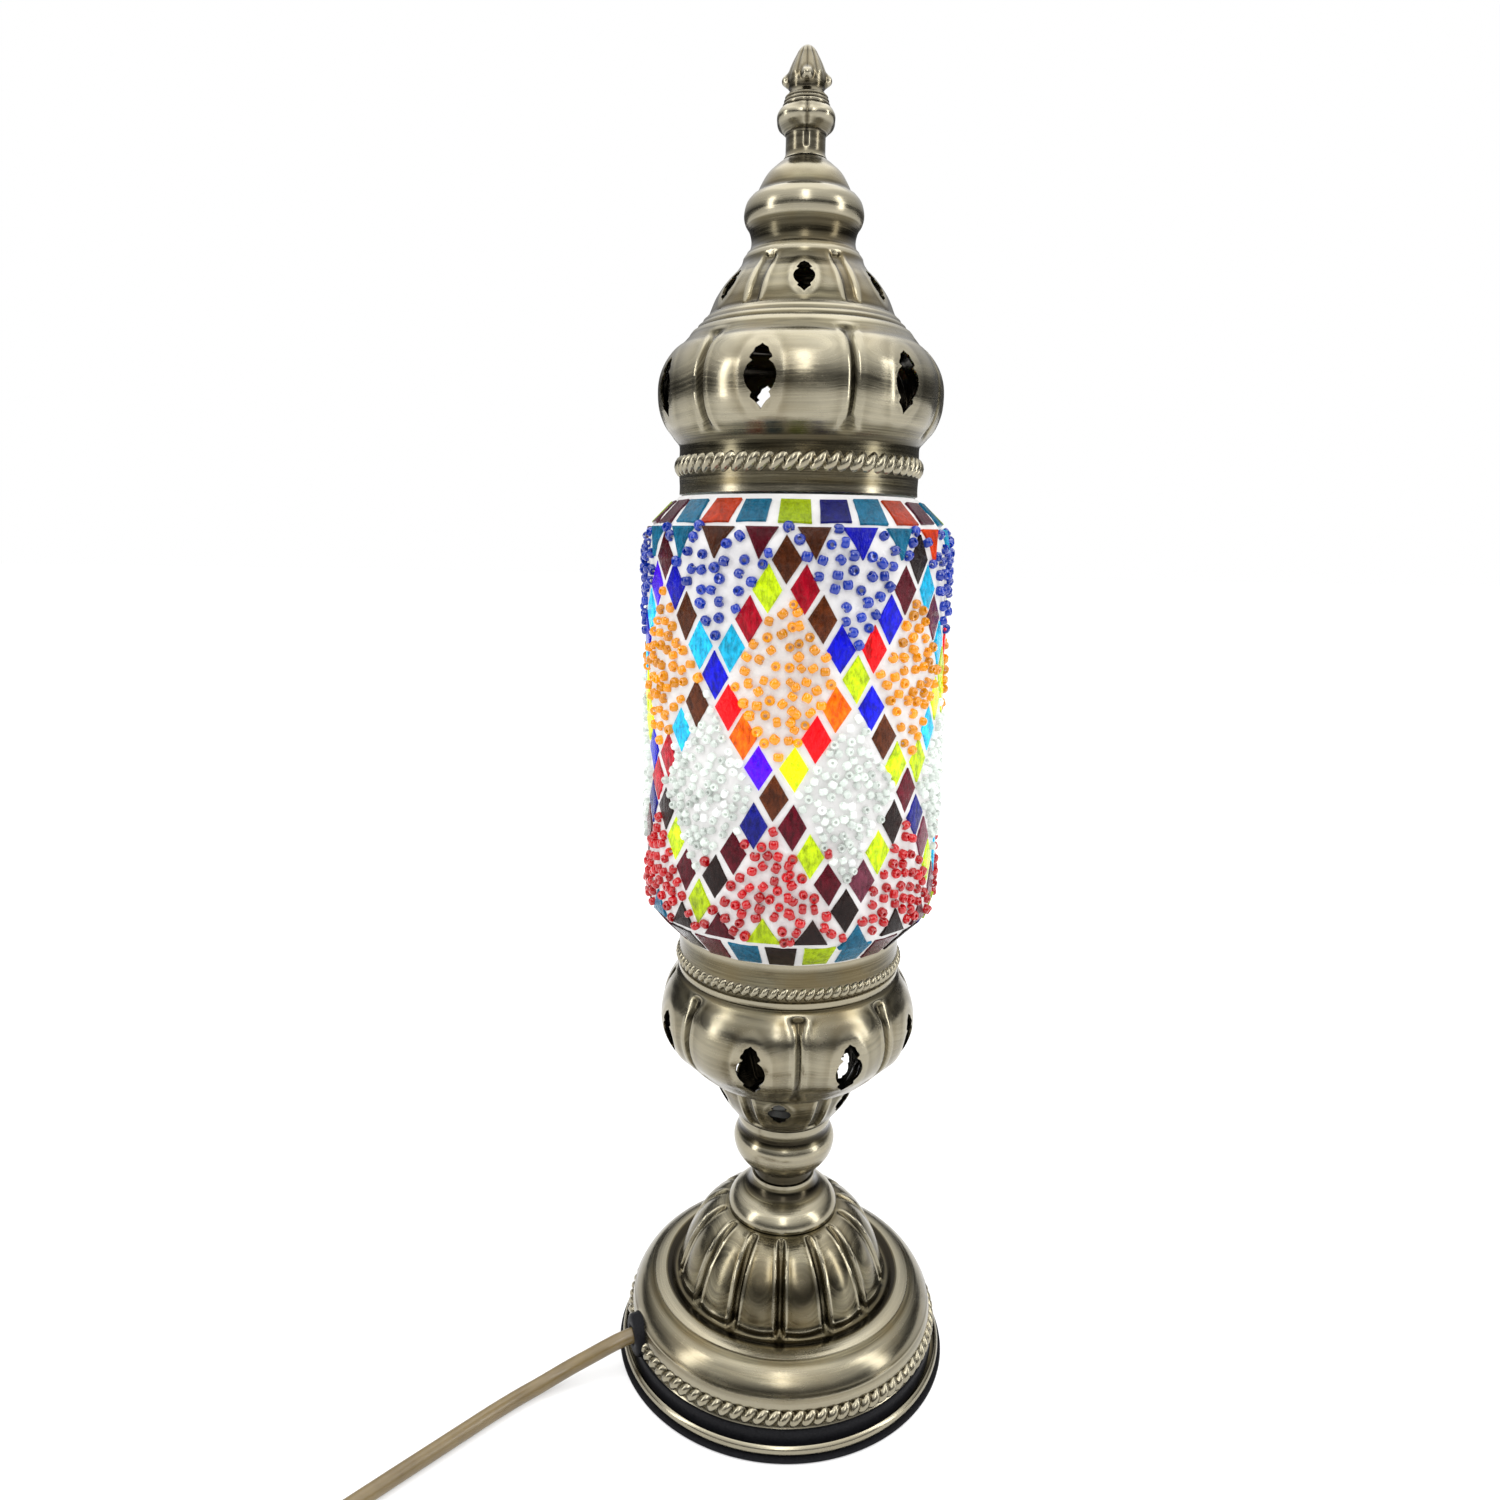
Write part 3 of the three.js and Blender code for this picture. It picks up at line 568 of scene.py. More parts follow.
# ---- cord ----
# These points are the route that the cord's solids follow. The coil's turns are worked out.
TO_SWITCH = [
    (-56.6, -25.2, 15.0), (-58.4, -25.9, 14.8), (-63.2, -27.8, 13.5), (-68.4, -29.6, 11.4),
    (-73.6, -31.2, 9.1), (-78.8, -32.9, 6.9), (-84.2, -35.4, 4.9), (-90.2, -39.2, 3.4),
    (-97, -44.8, 2.9), (-104.4, -52.2, 2.9), (-112.4, -60.8, 2.9), (-122.8, -72, 2.9), (-133, -83, 2.9),
    (-143.4, -94.4, 2.9), (-148.4, -100.8, 3), (-151.4, -107.6, 3.6), (-152.5, -114.6, 5),
    (-152.6, -120, 6.2), (-152.6, -126, 6.6), (-152.6, -140, 6.6), (-152.6, -155, 6.6),
    (-152.6, -170, 6.6), (-152.6, -184, 6.6), (-152.3, -192.6, 6), (-149.8, -201.8, 4.2),
    (-144.2, -209.6, 3), (-136, -215.2, 2.9), (-126.2, -217, 2.9), (-113, -217, 2.9),
]
TO_PLUG = [
    (-40.5, -179.6, 2.9), (-38.3, -171.2, 3.1), (-33.3, -164, 3.9), (-25.5, -158.9, 5.4),
    (-16.1, -157, 6.9), (-6, -157, 7.2),
]
COIL_CENTRE = (-90, -174)
COIL_OUTER, COIL_INNER, COIL_RISE = 43, 25, 5.4
COIL_TURNS = 3  # turns in each of the two layers
SWITCH_CENTRE = (-152.6, -155)
PLUG_CENTRE = (-7.8, -157, 7.2)


def coil_points():
    """Two layers of turns: the lower one winds in, and the upper one winds out and rolls down outside."""
    floor = CORD_DIAMETER / 2
    steps, roll_steps, start = 28, 7, -90
    points = []
    for i in range(1, 2 * COIL_TURNS * steps + 1):
        turn = i / steps
        share = turn / COIL_TURNS
        radius = COIL_OUTER - (COIL_OUTER - COIL_INNER) * (share if share < 1 else 2 - share)
        height = floor + COIL_RISE * float(ramp(turn, COIL_TURNS - 0.45, COIL_TURNS + 0.45))
        points.append((radius, start + 360 * turn, height))
    for i in range(1, roll_steps + 1):
        fall = math.radians(90 * i / roll_steps)
        radius = COIL_OUTER + (CORD_DIAMETER + 0.3) * math.sin(fall)
        points.append((radius, start + 80 * i / roll_steps, floor + COIL_RISE * math.cos(fall)))
    x, y = COIL_CENTRE
    return [(x + r * math.cos(math.radians(a)), y + r * math.sin(math.radians(a)), z) for r, a, z in points]


def build_cord():
    """The cord's object, its length in millimetres and its first point in metres."""
    route = curve_through(TO_SWITCH + coil_points() + TO_PLUG, 2.2)
    data = bpy.data.curves.new("power_cord", "CURVE")
    data.dimensions = "3D"
    data.bevel_depth = CORD_DIAMETER / 2 * MM
    data.bevel_resolution = 4
    data.use_fill_caps = True
    spline = data.splines.new("POLY")
    spline.points.add(len(route) - 1)
    for point, place in zip(spline.points, route):
        point.co = (*(v * MM for v in place), 1)
    cord = into_scene("power_cord", data)
    data.materials.append(CORD)
    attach(cord, "stand")
    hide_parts("cord_to_switch", "cord_to_coil", "cord_to_plug", "cord_coil")
    steps = np.linalg.norm(np.diff(np.array(route), axis=0), axis=1)
    return cord, float(steps.sum()), [v * MM for v in route[0]]


# ---- small parts on the cord ----
def rounded_block(name, size, centre, bevel, replaces, taper=0.0):
    """A plastic box with rounded edges, narrower towards its top by taper."""
    bm = bmesh.new()
    bmesh.ops.create_cube(bm, size=1)
    for v in bm.verts:
        lean = 1 - taper * (v.co.z + 0.5)
        v.co = Vector((v.co.x * size[0] * lean, v.co.y * size[1] * lean, v.co.z * size[2]))
    upright = [e for e in bm.edges if abs(e.verts[0].co.z - e.verts[1].co.z) > size[2] * 0.5]
    bmesh.ops.bevel(bm, geom=upright, offset=min(size[:2]) * 0.33, segments=8, affect="EDGES", profile=0.5)
    rims = [e for e in bm.edges if e.is_manifold and e.calc_face_angle() > 1.0]
    bmesh.ops.bevel(bm, geom=rims, offset=bevel, segments=4, affect="EDGES", profile=0.5)
    vertices = [tuple(v.co + Vector(centre)) for v in bm.verts]
    faces = [[v.index for v in f.verts] for f in bm.faces]
    bm.free()
    return make_object(name, vertices, faces, "stand", GOLD_PLASTIC, replaces, 50)


def build_switch():
    x, y = SWITCH_CENTRE
    wide, long = 26.6, 61.6
    lower = rounded_block("switch_lower_half", (wide, long, 6.2), (x, y, 3.3), 1.6, ("switch_base",))
    upper = rounded_block("switch_upper_half", (wide, long, 6.9), (x, y, 10.2), 2.2, ("switch_cover",), 0.06)
    carve(upper, box_cutter((12.8, 22.8, 12), (x, y, 14.6)))
    top = curve_through([(-10, 3.6), (-5, 1.2), (0, 0.9), (5, 1.1), (10, 2.2)], 1.0)
    line = top + curve_through([(9.2, -1.1), (0, -2.3), (-9.2, -1.1)], 1.5)
    half_width, pivot = 5.8, 12.9
    vertices = [(x + side * half_width, y + p[0], pivot + p[1]) for side in (-1, 1) for p in line]
    n = len(line)
    faces = [tuple(range(n)), tuple(range(2 * n - 1, n - 1, -1))]
    faces += [(i, (i + 1) % n, n + (i + 1) % n, n + i) for i in range(n)]
    rocker = make_object("switch_rocker_cap", vertices, faces, "rocker", GOLD_PLASTIC, ("switch_rocker",))
    return [lower, upper, soften(rocker, 0.5)]


def build_tie():
    """A strap round all the turns of the coil."""
    x, y = COIL_CENTRE
    inner, outer, low, top, wide, thick = 21.6, 49.6, 0.1, 11.6, 3.2, 0.5
    loop = [(inner, low), (outer, low), (outer + 0.4, 3), (outer - 2.6, top - 2), (outer - 5, top),
            (inner + 1, top), (inner, top - 1.5)]
    middle = sum(reach for reach, _ in loop) / len(loop)
    vertices = []
    for side in (-wide, wide):
        for shrink in (0, thick):
            for reach, z in loop:
                pull = shrink if reach > middle else -shrink
                level = z + (shrink if z < 2 else -shrink)
                vertices.append((x - reach + pull, y + side, max(level, low)))
    n = len(loop)
    faces = []
    for i, j in ((i, (i + 1) % n) for i in range(n)):
        faces += [(i, j, 2 * n + j, 2 * n + i), (n + i, 3 * n + i, 3 * n + j, n + j),
                  (i, n + i, n + j, j), (2 * n + i, 2 * n + j, 3 * n + j, 3 * n + i)]
    return soften(make_object("coil_tie", vertices, faces, "stand", RUBBER), 0.15)


def soften(piece, width):
    """Rounds a piece's sharp edges."""
    bevel = piece.modifiers.new("edges", "BEVEL")
    bevel.width = width * MM
    bevel.segments = 3
    bevel.limit_method = "ANGLE"
    apply_modifiers(piece)
    return piece


def apply_modifiers(piece):
    graph = bpy.context.evaluated_depsgraph_get()
    mesh = bpy.data.meshes.new_from_object(piece.evaluated_get(graph))
    piece.modifiers.clear()
    old = piece.data
    piece.data = mesh
    bpy.data.meshes.remove(old)


def box_cutter(size, centre):
    corners = [(x, y, z) for x in (-0.5, 0.5) for y in (-0.5, 0.5) for z in (-0.5, 0.5)]
    faces = [(0, 1, 3, 2), (4, 6, 7, 5), (0, 4, 5, 1), (2, 3, 7, 6), (0, 2, 6, 4), (1, 5, 7, 3)]
    vertices = [[a * b + c for a, b, c in zip(corner, size, centre)] for corner in corners]
    return into_scene("box_cutter", mesh_of("box_cutter", vertices, faces))


def cord_cutter():
    """A bore that runs outwards through the base along the cord's way out."""
    _, out = directions(CORD_EXIT_ANGLE)
    start, length = out * 50 + Vector((0, 0, CORD_EXIT_Z)), 26
    turned, faces = spun([(0.01, 0), (GROMMET_RADIUS, 0), (GROMMET_RADIUS, length), (0.01, length)], 48)
    turn = Vector((0, 0, 1)).rotation_difference(out)
    mesh = mesh_of("cord_cutter", [turn @ Vector(p) + start for p in turned], faces)
    bm = bmesh.new()
    bm.from_mesh(mesh)
    bmesh.ops.recalc_face_normals(bm, faces=bm.faces)
    bm.to_mesh(mesh)
    bm.free()
    return into_scene("cord_cutter", mesh)


def carve(piece, cutter):
    """Takes the cutter's volume out of the piece, and removes the cutter."""
    cut = piece.modifiers.new("cut", "BOOLEAN")
    cut.object = cutter
    cut.operation = "DIFFERENCE"
    cut.solver = "MANIFOLD"
    apply_modifiers(piece)
    mesh = cutter.data
    bpy.data.objects.remove(cutter)
    bpy.data.meshes.remove(mesh)


def build_plug():
    x, y, z = PLUG_CENTRE
    sections = [(0, 4.0, 4.0), (3, 4.3, 4.3), (8, 5.0, 5.0), (12, 7.0, 5.6), (16, 10.6, 6.3), (20, 12.6, 6.7),
                (27, 12.9, 6.8), (34, 12.4, 6.7), (35.4, 11.6, 5.9)]  # distance, half width and half height
    dense = curve_through(sections, 1.2)
    around, squareness = 40, 0.62

    def across(share, half):
        return half * math.copysign(abs(share) ** squareness, share)

    vertices, faces = [], []
    for along, half_width, half_height in dense:
        for a in (2 * math.pi * k / around for k in range(around)):
            side, rise = across(math.cos(a), half_width), across(math.sin(a), half_height)
            vertices.append((x + along, y + side, z + rise))
    for i in range(len(dense) - 1):
        for k in range(around):
            m = (k + 1) % around
            faces.append((i * around + k, i * around + m, (i + 1) * around + m, (i + 1) * around + k))
    last = (len(dense) - 1) * around
    faces += [tuple(range(around)), tuple(range(last + around - 1, last - 1, -1))]
    pieces = [make_object("plug_moulding", vertices, faces, "stand", GOLD_PLASTIC, ("plug_body",))]
    pin = [(0, 0), (1.98, 0), (1.98, 17.2), (1.5, 18.5), (0.8, 18.9), (0, 19)]
    turned, faces = spun(pin, 20, None, False)
    for name, side in (("plug_pin_left", 1), ("plug_pin_right", -1)):
        placed = [(x + 35.7 + p[2], y + side * 9.3 + p[0], z + p[1]) for p in turned]
        pieces.append(make_object(name + "_turned", placed, faces, "stand", STEEL, (name,)))
    return pieces


def build_grommet():
    bore, rim, back = CORD_DIAMETER / 2 + 0.35, 7.6, -7.2
    line = outline(
        [(bore, back), (rim, back)], [(rim, back), (rim, -1.6)], [(rim, -1.6), (7.3, -0.6), (6.4, -0.05)],
        [(6.4, -0.05), (5.0, 0.1), (4.0, 0.0)], [(4.0, 0.0), (bore + 0.2, -0.5), (bore, -1.4)], spacing=0.4)
    turned, faces = spun(line, 40)
    right, out = directions(CORD_EXIT_ANGLE)
    placed = [tuple(right * x + Vector((0, 0, CORD_EXIT_Z + y)) + out * (GROMMET_FACE + z))
              for x, y, z in turned]
    make_object("cord_grommet_ring", placed, faces, "stand", RUBBER, ("cord_grommet",))


# ---- pierced and pressed brass ----
def ornament(width, height):
    """Half-outline points of a pierced ornament: a round middle with a pointed cusped foil at each end."""
    w, h = width / 2, height / 2
    side = [(0, -h), (0.14 * w, -0.90 * h), (0.34 * w, -0.78 * h), (0.62 * w, -0.66 * h),
            (0.60 * w, -0.58 * h), (0.52 * w, -0.52 * h), (0.78 * w, -0.36 * h), (0.94 * w, -0.18 * h), (w, 0),
            (0.94 * w, 0.18 * h), (0.78 * w, 0.34 * h), (0.50 * w, 0.46 * h), (0.70 * w, 0.54 * h),
            (0.66 * w, 0.62 * h), (0.50 * w, 0.72 * h), (0.40 * w, 0.86 * h), (0.16 * w, 0.93 * h), (0, h)]
    return side + [(-x, y) for x, y in side[-2:0:-1]]


def pierce(piece, windows, through=34):
    """Cuts ornaments through a shell."""
    vertices, faces = [], []
    for window in windows:
        points = ornament(window.width, window.tall)
        n, base = len(points), len(vertices)
        right, out = directions(window.angle)
        for reach in (window.near, window.near + through):
            vertices += [tuple(right * x + out * reach + Vector((0, 0, window.z + y))) for x, y in points]
        faces.append(tuple(base + i for i in range(n))[::-1])
        faces.append(tuple(base + n + i for i in range(n)))
        faces += [(base + i, base + (i + 1) % n, base + n + (i + 1) % n, base + n + i) for i in range(n)]
    carve(piece, into_scene("windows", mesh_of("windows", vertices, faces)))


def pressed_lobes(r, z, a, grooves, low, high, depth=1.25, pull=1.0):
    """How far pressed channels move a shell's surface inwards. They widen at their ends."""
    lift = ramp(z, low, low + 5) * (1 - ramp(z, high - 3.5, high))
    middle = (low + high) / 2
    wide = 1.0 + 1.4 * ramp(np.abs(z - middle), (high - low) * 0.30, (high - low) * 0.52)
    press = np.zeros_like(r)
    for groove in grooves:
        s = np.radians(turn_gap(a, groove)) * r
        press += depth * np.exp(-(s / wide) ** 2) + pull * np.exp(-(s / 6.5) ** 2)
        press -= 0.30 * np.exp(-((np.abs(s) - wide * 1.9) / 0.8) ** 2)
    return press * lift


def window_rims(r, z, a, windows, lift=0.16):
    """The soft raised rim that punching leaves round each window."""
    raised = np.zeros_like(r)
    for window in windows:
        s = np.radians(turn_gap(a, window.angle)) * r / (window.width / 2)
        reach = np.hypot(s, (z - window.z) / (window.tall / 2))
        raised += lift * np.exp(-((reach - 1.25) / 0.22) ** 2)
    return raised


def pressed_panes(r, z, a, low, high, depth=1.0):
    """Flat-bottomed channels of a small cone, between its panes."""
    lift = ramp(z, low, low + 1.2) * (1 - ramp(z, high - 1.6, high))
    press = np.zeros_like(r)
    for groove in CONE_GROOVES:
        s = np.abs(np.radians(turn_gap(a, groove)) * r)
        press += depth * (1 - ramp(s, 1.2, 2.6)) - 0.25 * np.exp(-((s - 3.0) / 0.7) ** 2)
    return press * lift


def rope(name, radius, height, thickness, twists, body, tall=1.0):
    """A roped bead: a ring of slanted strands."""
    around, section = twists * 12, 16
    vertices, faces = [], []
    for i in range(around):
        a = math.radians(360 * i / around)
        for k in range(section):
            b = 2 * math.pi * k / section
            strand = abs(math.sin(a * twists / 2 - b))
            t = thickness * (0.50 + 0.50 * strand**0.6)
            x = radius + t * math.cos(b)
            vertices.append((x * math.sin(a), -x * math.cos(a), height + tall * t * math.sin(b)))
    for i in range(around):
        j = (i + 1) % around
        for k in range(section):
            m = (k + 1) % section
            faces.append((i * section + k, j * section + k, j * section + m, i * section + m))
    return mark_patina_and_light(make_object(name, vertices, faces, body, BRASS, (), 60), 6, 0.08)


def pierced_shell(name, line, body, replaced, shape, windows):
    shell = turned_piece(name, sheet(line), 300, body, BRASS, (replaced,), shape, 48)
    pierce(shell, windows)
    finish_object(shell, body, BRASS, crease=48)
    # Patina in the hollows, and painted shade on the whole inside of the shell.
    mark_patina_and_light(shell, scale=0.2, painted_shade_inside=True, most=0.8)


def build_hood():
    windows = [Window(a, z=365.2, width=10.3, tall=18.8, near=26) for a in HOOD_WINDOWS]
    windows += [Window(1 + 60 * i, z=397.4, width=6.9, tall=10.4, near=12) for i in range(6)]
    line = outline(
        [(2.7, 438.3), (7.3, 438.2)],
        [(7.3, 438.2), (9.6, 436.4), (12.4, 433.8), (14.6, 430.2), (15.6, 428.0)],
        [(15.6, 428.0), (16.2, 427.4), (17.4, 426.9)],
        [(17.4, 426.9), (19.0, 424.9), (19.8, 421.6), (19.3, 419.0), (18.0, 416.9), (17.3, 414.2),
         (17.3, 412.2), (17.9, 410.3)],
        [(17.9, 410.3), (18.7, 409.7), (18.9, 409.2)], [(18.9, 409.2), (19.9, 407.9), (20.1, 407.0)],
        [(20.1, 407.0), (20.4, 406.0), (21.6, 404.2), (25.4, 400.3), (28.4, 396.0), (30.3, 391.8),
         (31.2, 389.6)],
        [(31.2, 389.6), (31.9, 389.3), (32.5, 388.6)], [(32.5, 388.6), (33.1, 388.2), (33.6, 387.0)],
        [(33.6, 387.0), (34.9, 386.2), (35.3, 385.0)], [(35.3, 385.0), (36.9, 384.2), (38.0, 382.6)],
        [(38.0, 382.6), (40.3, 380.2), (43.2, 378.0), (46.0, 374.2), (47.8, 369.8), (48.4, 365.0),
         (47.9, 359.2), (46.0, 354.2), (43.6, 351.2), (41.6, 349.0)],
        [(41.6, 349.0), (41.0, 348.2), (40.9, 346.4)], [(40.9, 346.4), (41.1, 341.2), (41.0, 336.6)],
        [(41.0, 336.6), (40.9, 334.6), (41.0, 332.0)], spacing=0.72)

    def shape(r, z, a):
        lobes = pressed_lobes(r, z, a, HOOD_GROOVES, 348.8, 382.2)
        return r - lobes - pressed_panes(r, z, a, 389.4, 406.6) + window_rims(r, z, a, windows)

    pierced_shell("hood", line, "hood", "hood_shell", shape, windows)
    rope("hood_rope", 39.5, 341.2, 3.3, 60, "hood", 1.15)


def build_finial():
    line = outline(
        [(0.05, 472.7), (1.9, 471.6), (3.2, 469.4), (4.6, 466.8), (5.6, 464.4), (6.2, 461.8), (6.0, 459.8)],
        [(6.0, 459.8), (5.9, 458.6), (6.5, 457.2)], [(6.5, 457.2), (7.0, 456.9), (6.7, 456.4)],
        [(6.7, 456.4), (7.3, 455.8), (7.0, 455.2)], [(7.0, 455.2), (7.7, 454.6), (7.5, 453.9)],
        [(7.5, 453.9), (8.9, 452.6), (10.0, 450.7), (9.7, 449.0), (8.2, 447.4), (6.9, 446.2)],
        [(6.8, 446.2), (6.5, 445.4), (6.5, 440.2)], [(6.5, 440.2), (6.8, 439.2), (7.2, 438.5)],
        [(7.2, 438.5), (2.2, 438.4)], [(2.2, 438.4), (2.2, 430.4)], [(2.2, 430.4), (0.05, 430.3)],
        spacing=0.35)

    def between(z, low, low_end, high, high_end):
        return ramp(z, low, low_end) * (1 - ramp(z, high, high_end))

    def shape(r, z, a):
        ribs = 0.42 * between(z, 461.5, 464, 470, 472.4) * np.abs(np.sin(np.radians(a) * 6)) ** 0.7
        lobes = 0.6 * between(z, 446.8, 449, 452.4, 454) * np.cos(np.radians(a - 45) * 4)
        seam = 0.45 * between(z, 440.6, 441.4, 454, 456) * np.exp(-(turn_gap(a, 2) / 5.0) ** 2)
        knobs = np.zeros_like(r)
        for i in range(4):
            s = np.radians(turn_gap(a, 90 * i)) * 6.2
            knobs += 1.9 * np.exp(-((s / 1.5) ** 2 + ((z - 461.9) / 1.9) ** 2) ** 1.5)
            knobs -= 0.5 * np.exp(-((s / 2.4) ** 2 + ((z - 458.9) / 1.2) ** 2))
        return np.maximum(r + 0.8 * ribs + lobes - seam + knobs, 0.03)

    mark_patina_and_light(turned_piece("finial_casting", line, 132, "finial_knob", CAST_BRASS, ("finial",), shape, 60), 8, 0.12)


def build_bowl():
    windows = [Window(a, z=138.6, width=10.6, tall=20.0, near=26) for a in BOWL_WINDOWS]
    windows += [Window(-4 + 60 * i, z=111.6, width=8.6, tall=10.4, near=12) for i in range(6)]
    line = outline(
        [(41.2, 176.3), (40.9, 172), (40.9, 168.6)], [(40.9, 168.6), (41.0, 165.4), (40.6, 162.4)],
        [(40.6, 162.4), (41.2, 162.0), (41.2, 160.2)],
        [(41.2, 160.2), (40.7, 159.4), (41.9, 158.4)],
        [(41.9, 158.4), (44.9, 154.4), (47.2, 149.6), (48.3, 143.2), (47.5, 137.2), (45.0, 131.6),
         (41.0, 127.2), (36.6, 122.8), (31.8, 119.4), (30.0, 118.9)],
        [(30.0, 118.9), (29.2, 118.9), (28.9, 118.2)],
        [(28.9, 118.2), (27.2, 113.4), (24.4, 107.6), (20.6, 102.0), (18.6, 99.8)],
        [(18.6, 99.8), (5.6, 99.7)], spacing=0.62)

    def shape(r, z, a):
        lobes = pressed_lobes(r, z, a, BOWL_GROOVES, 121.5, 158.6)
        return r - lobes - pressed_panes(r, z, a, 101.4, 118.6, 1.2) + window_rims(r, z, a, windows)

    pierced_shell("bowl", line, "stand", "bowl_shell", shape, windows)
    rope("bowl_rope", 39.6, 165.3, 2.75, 80, "stand")


def build_neck():
    bore = 5.4
    bell = outline(
        [(bore, 72.5), (12.2, 72.5)], [(12.2, 72.5), (12.4, 70.0), (13.6, 67.8), (15.7, 66.3), (16.9, 65.6)],
        [(16.9, 65.6), (18.9, 64.1), (20.6, 61.9), (21.4, 59.8), (21.3, 58.4)], [(21.3, 58.4), (bore, 58.4)],
        [(bore, 58.4), (bore, 72.5)])
    sleeve = outline([(5.5, 72.9), (11.5, 72.9)], [(11.5, 72.9), (11.5, 80.0)], [(11.5, 80.0), (5.5, 80.0)],
                     [(5.5, 80.0), (5.5, 72.9)])
    ball = outline(
        [(bore, 99.3), (18.3, 99.3)], [(18.3, 99.3), (18.1, 97.2), (17.5, 95.0), (17.6, 93.4)],
        [(17.6, 93.4), (18.3, 92.2), (19.3, 90.2), (19.6, 87.6), (18.9, 84.2), (17.4, 81.4), (15.3, 78.8),
         (13.7, 77.5)],
        [(13.7, 77.5), (13.2, 77.2), (12.4, 77.4)], [(12.4, 77.4), (12.4, 80.4)],
        [(12.4, 80.4), (bore, 80.4)], [(bore, 80.4), (bore, 99.3)])
    mark_patina_and_light(turned_piece("bell_collar", bell, 120, "stand", BRASS, ("base_bell",)))
    # Painted shade: the whole tube is set dark, for the shade that falls on it under the ball.
    mark_patina_and_light(turned_piece("neck_tube", sleeve, 96, "stand", BRASS, ("neck_sleeve",)), least=1.1)
    mark_patina_and_light(turned_piece("neck_ball_turned", ball, 120, "stand", BRASS, ("neck_ball",)))


def build_base():
    line = outline(
        [(5.7, 58.2), (20.2, 58.2)],
        [(20.2, 58.2), (24.9, 57.2), (29.8, 53.9), (34.1, 48.7), (37.3, 42.6), (39.4, 36.6), (40.5, 31.4)],
        [(40.5, 31.4), (40.9, 30.4), (41.4, 29.9)], [(41.4, 29.9), (42.3, 29.7), (43.2, 29.9)],
        [(43.2, 29.9), (44.6, 30.6), (46.6, 31.0), (48.8, 30.9), (50.5, 30.3)],
        [(50.5, 30.3), (50.7, 29.7), (51.2, 29.5)],
        [(51.2, 29.5), (54.0, 28.0), (56.5, 25.6), (58.0, 23.4), (58.7, 21.8)],
        [(58.7, 21.8), (59.0, 21.4), (59.1, 20.8)], [(59.1, 20.8), (59.6, 18.6), (59.7, 17.4)],
        [(59.7, 17.4), (59.2, 16.6), (59.2, 13.8), (59.4, 11.4)], [(59.4, 11.4), (60.2, 10.3)], spacing=0.76)

    def shape(r, z, a):
        pitch = 360 / FLUTES
        nearest = (np.asarray(a) + pitch / 2) % pitch - pitch / 2
        s = np.radians(nearest) * r
        half = np.radians(pitch / 2) * r
        lift = ramp(z, 29.4, 31.4) * (1 - ramp(r, 41.0, 42.2)) * (1 - ramp(z, 57.0, 58.2))
        bulge = 1.3 * np.sin(np.clip(np.abs(s) / half, 0, 1) * math.pi / 2)
        channel = 1.8 * np.exp(-(s / 1.35) ** 4) - 0.55 * np.exp(-((np.abs(s) - 2.1) / 0.55) ** 2)
        toe = 0.6 * np.exp(-((z - 32.4) / 0.9) ** 2) * ramp(np.abs(s), 1.2, 2.4)
        return r + lift * (bulge - 0.9 - channel + toe)

    shell = turned_piece("base_dome", sheet(line), 32 * FLUTES, "stand", BRASS, ("base_shell",), shape, 48)
    carve(shell, cord_cutter())
    finish_object(shell, "stand", BRASS, crease=48)
    # Patina in the hollows, and painted shade on the whole inside of the dome.
    mark_patina_and_light(shell, scale=0.3, painted_shade_inside=True, most=0.62)
    beads = rope("base_rope", 58.4, 13.8, 3.3, 87, "stand", 1.05)
    carve(beads, cord_cutter())
    finish_object(beads, "stand", BRASS, crease=60)
    mark_patina_and_light(beads, 6, 0.08)
    rim = outline(
        [(5.5, 1.9), (62.9, 1.9)], [(62.9, 1.9), (63.6, 2.6), (63.8, 3.8), (63.4, 5.0), (62.6, 5.5)],
        [(62.6, 5.5), (62.3, 5.0), (62.3, 2.9)], [(62.3, 2.9), (5.5, 2.9)], spacing=0.5)
    mark_patina_and_light(turned_piece("base_rim", rim, 240, "stand", BRASS, ("base_pan",)), 10, 0.14)
    core = outline([(5.5, 7.2), (12, 7.2)], [(12, 7.2), (12, 3.3)], [(12, 3.3), (60.9, 3.3)],
                   [(60.9, 3.3), (60.9, 8.8), (60.2, 9.8)], [(60.2, 9.8), (5.5, 9.8)], spacing=0.6)
    iron = turned_piece("ballast", core, 200, "stand", IRON, ("ballast_disc",))
    carve(iron, cord_cutter())
    finish_object(iron, "stand", IRON)
    pad = outline([(16, 0), (64.4, 0)], [(64.4, 0), (65.0, 0.7), (64.7, 1.5)], [(64.7, 1.5), (16, 1.6)],
                  [(16, 1.6), (16, 0)], spacing=0.5)
    turned_piece("foot_cushion", pad, 240, "stand", FELT, ("foot_pad",))


# ---- mosaic ----
COLUMNS = 7  # of nodes round the glass
WALL_RADIUS = 52.3
LEVEL_HEIGHT = 240  # where travel along the grout's outline equals height
GROUT_LINE = np.array(outline(
    [(40.2, 175.2), (42.4, 177.4), (46.2, 181.6), (49.6, 185.4), (51.6, 188.8), (WALL_RADIUS, 192.5)],
    [(WALL_RADIUS, 192.5), (WALL_RADIUS, 315.5)],
    [(WALL_RADIUS, 315.5), (51.7, 318.2), (49.8, 321.9), (47.0, 325.4), (43.9, 328.4), (41.0, 331.2)]))
TRAVEL = np.r_[0, np.cumsum(np.hypot(*np.diff(GROUT_LINE, axis=0).T))]
TRAVEL += LEVEL_HEIGHT - np.interp(LEVEL_HEIGHT, GROUT_LINE[:, 1], TRAVEL)


def on_grout(travel):
    """The radius and height of the grout at a travel along its outline."""
    return np.interp(travel, TRAVEL, GROUT_LINE[:, 0]), np.interp(travel, TRAVEL, GROUT_LINE[:, 1])


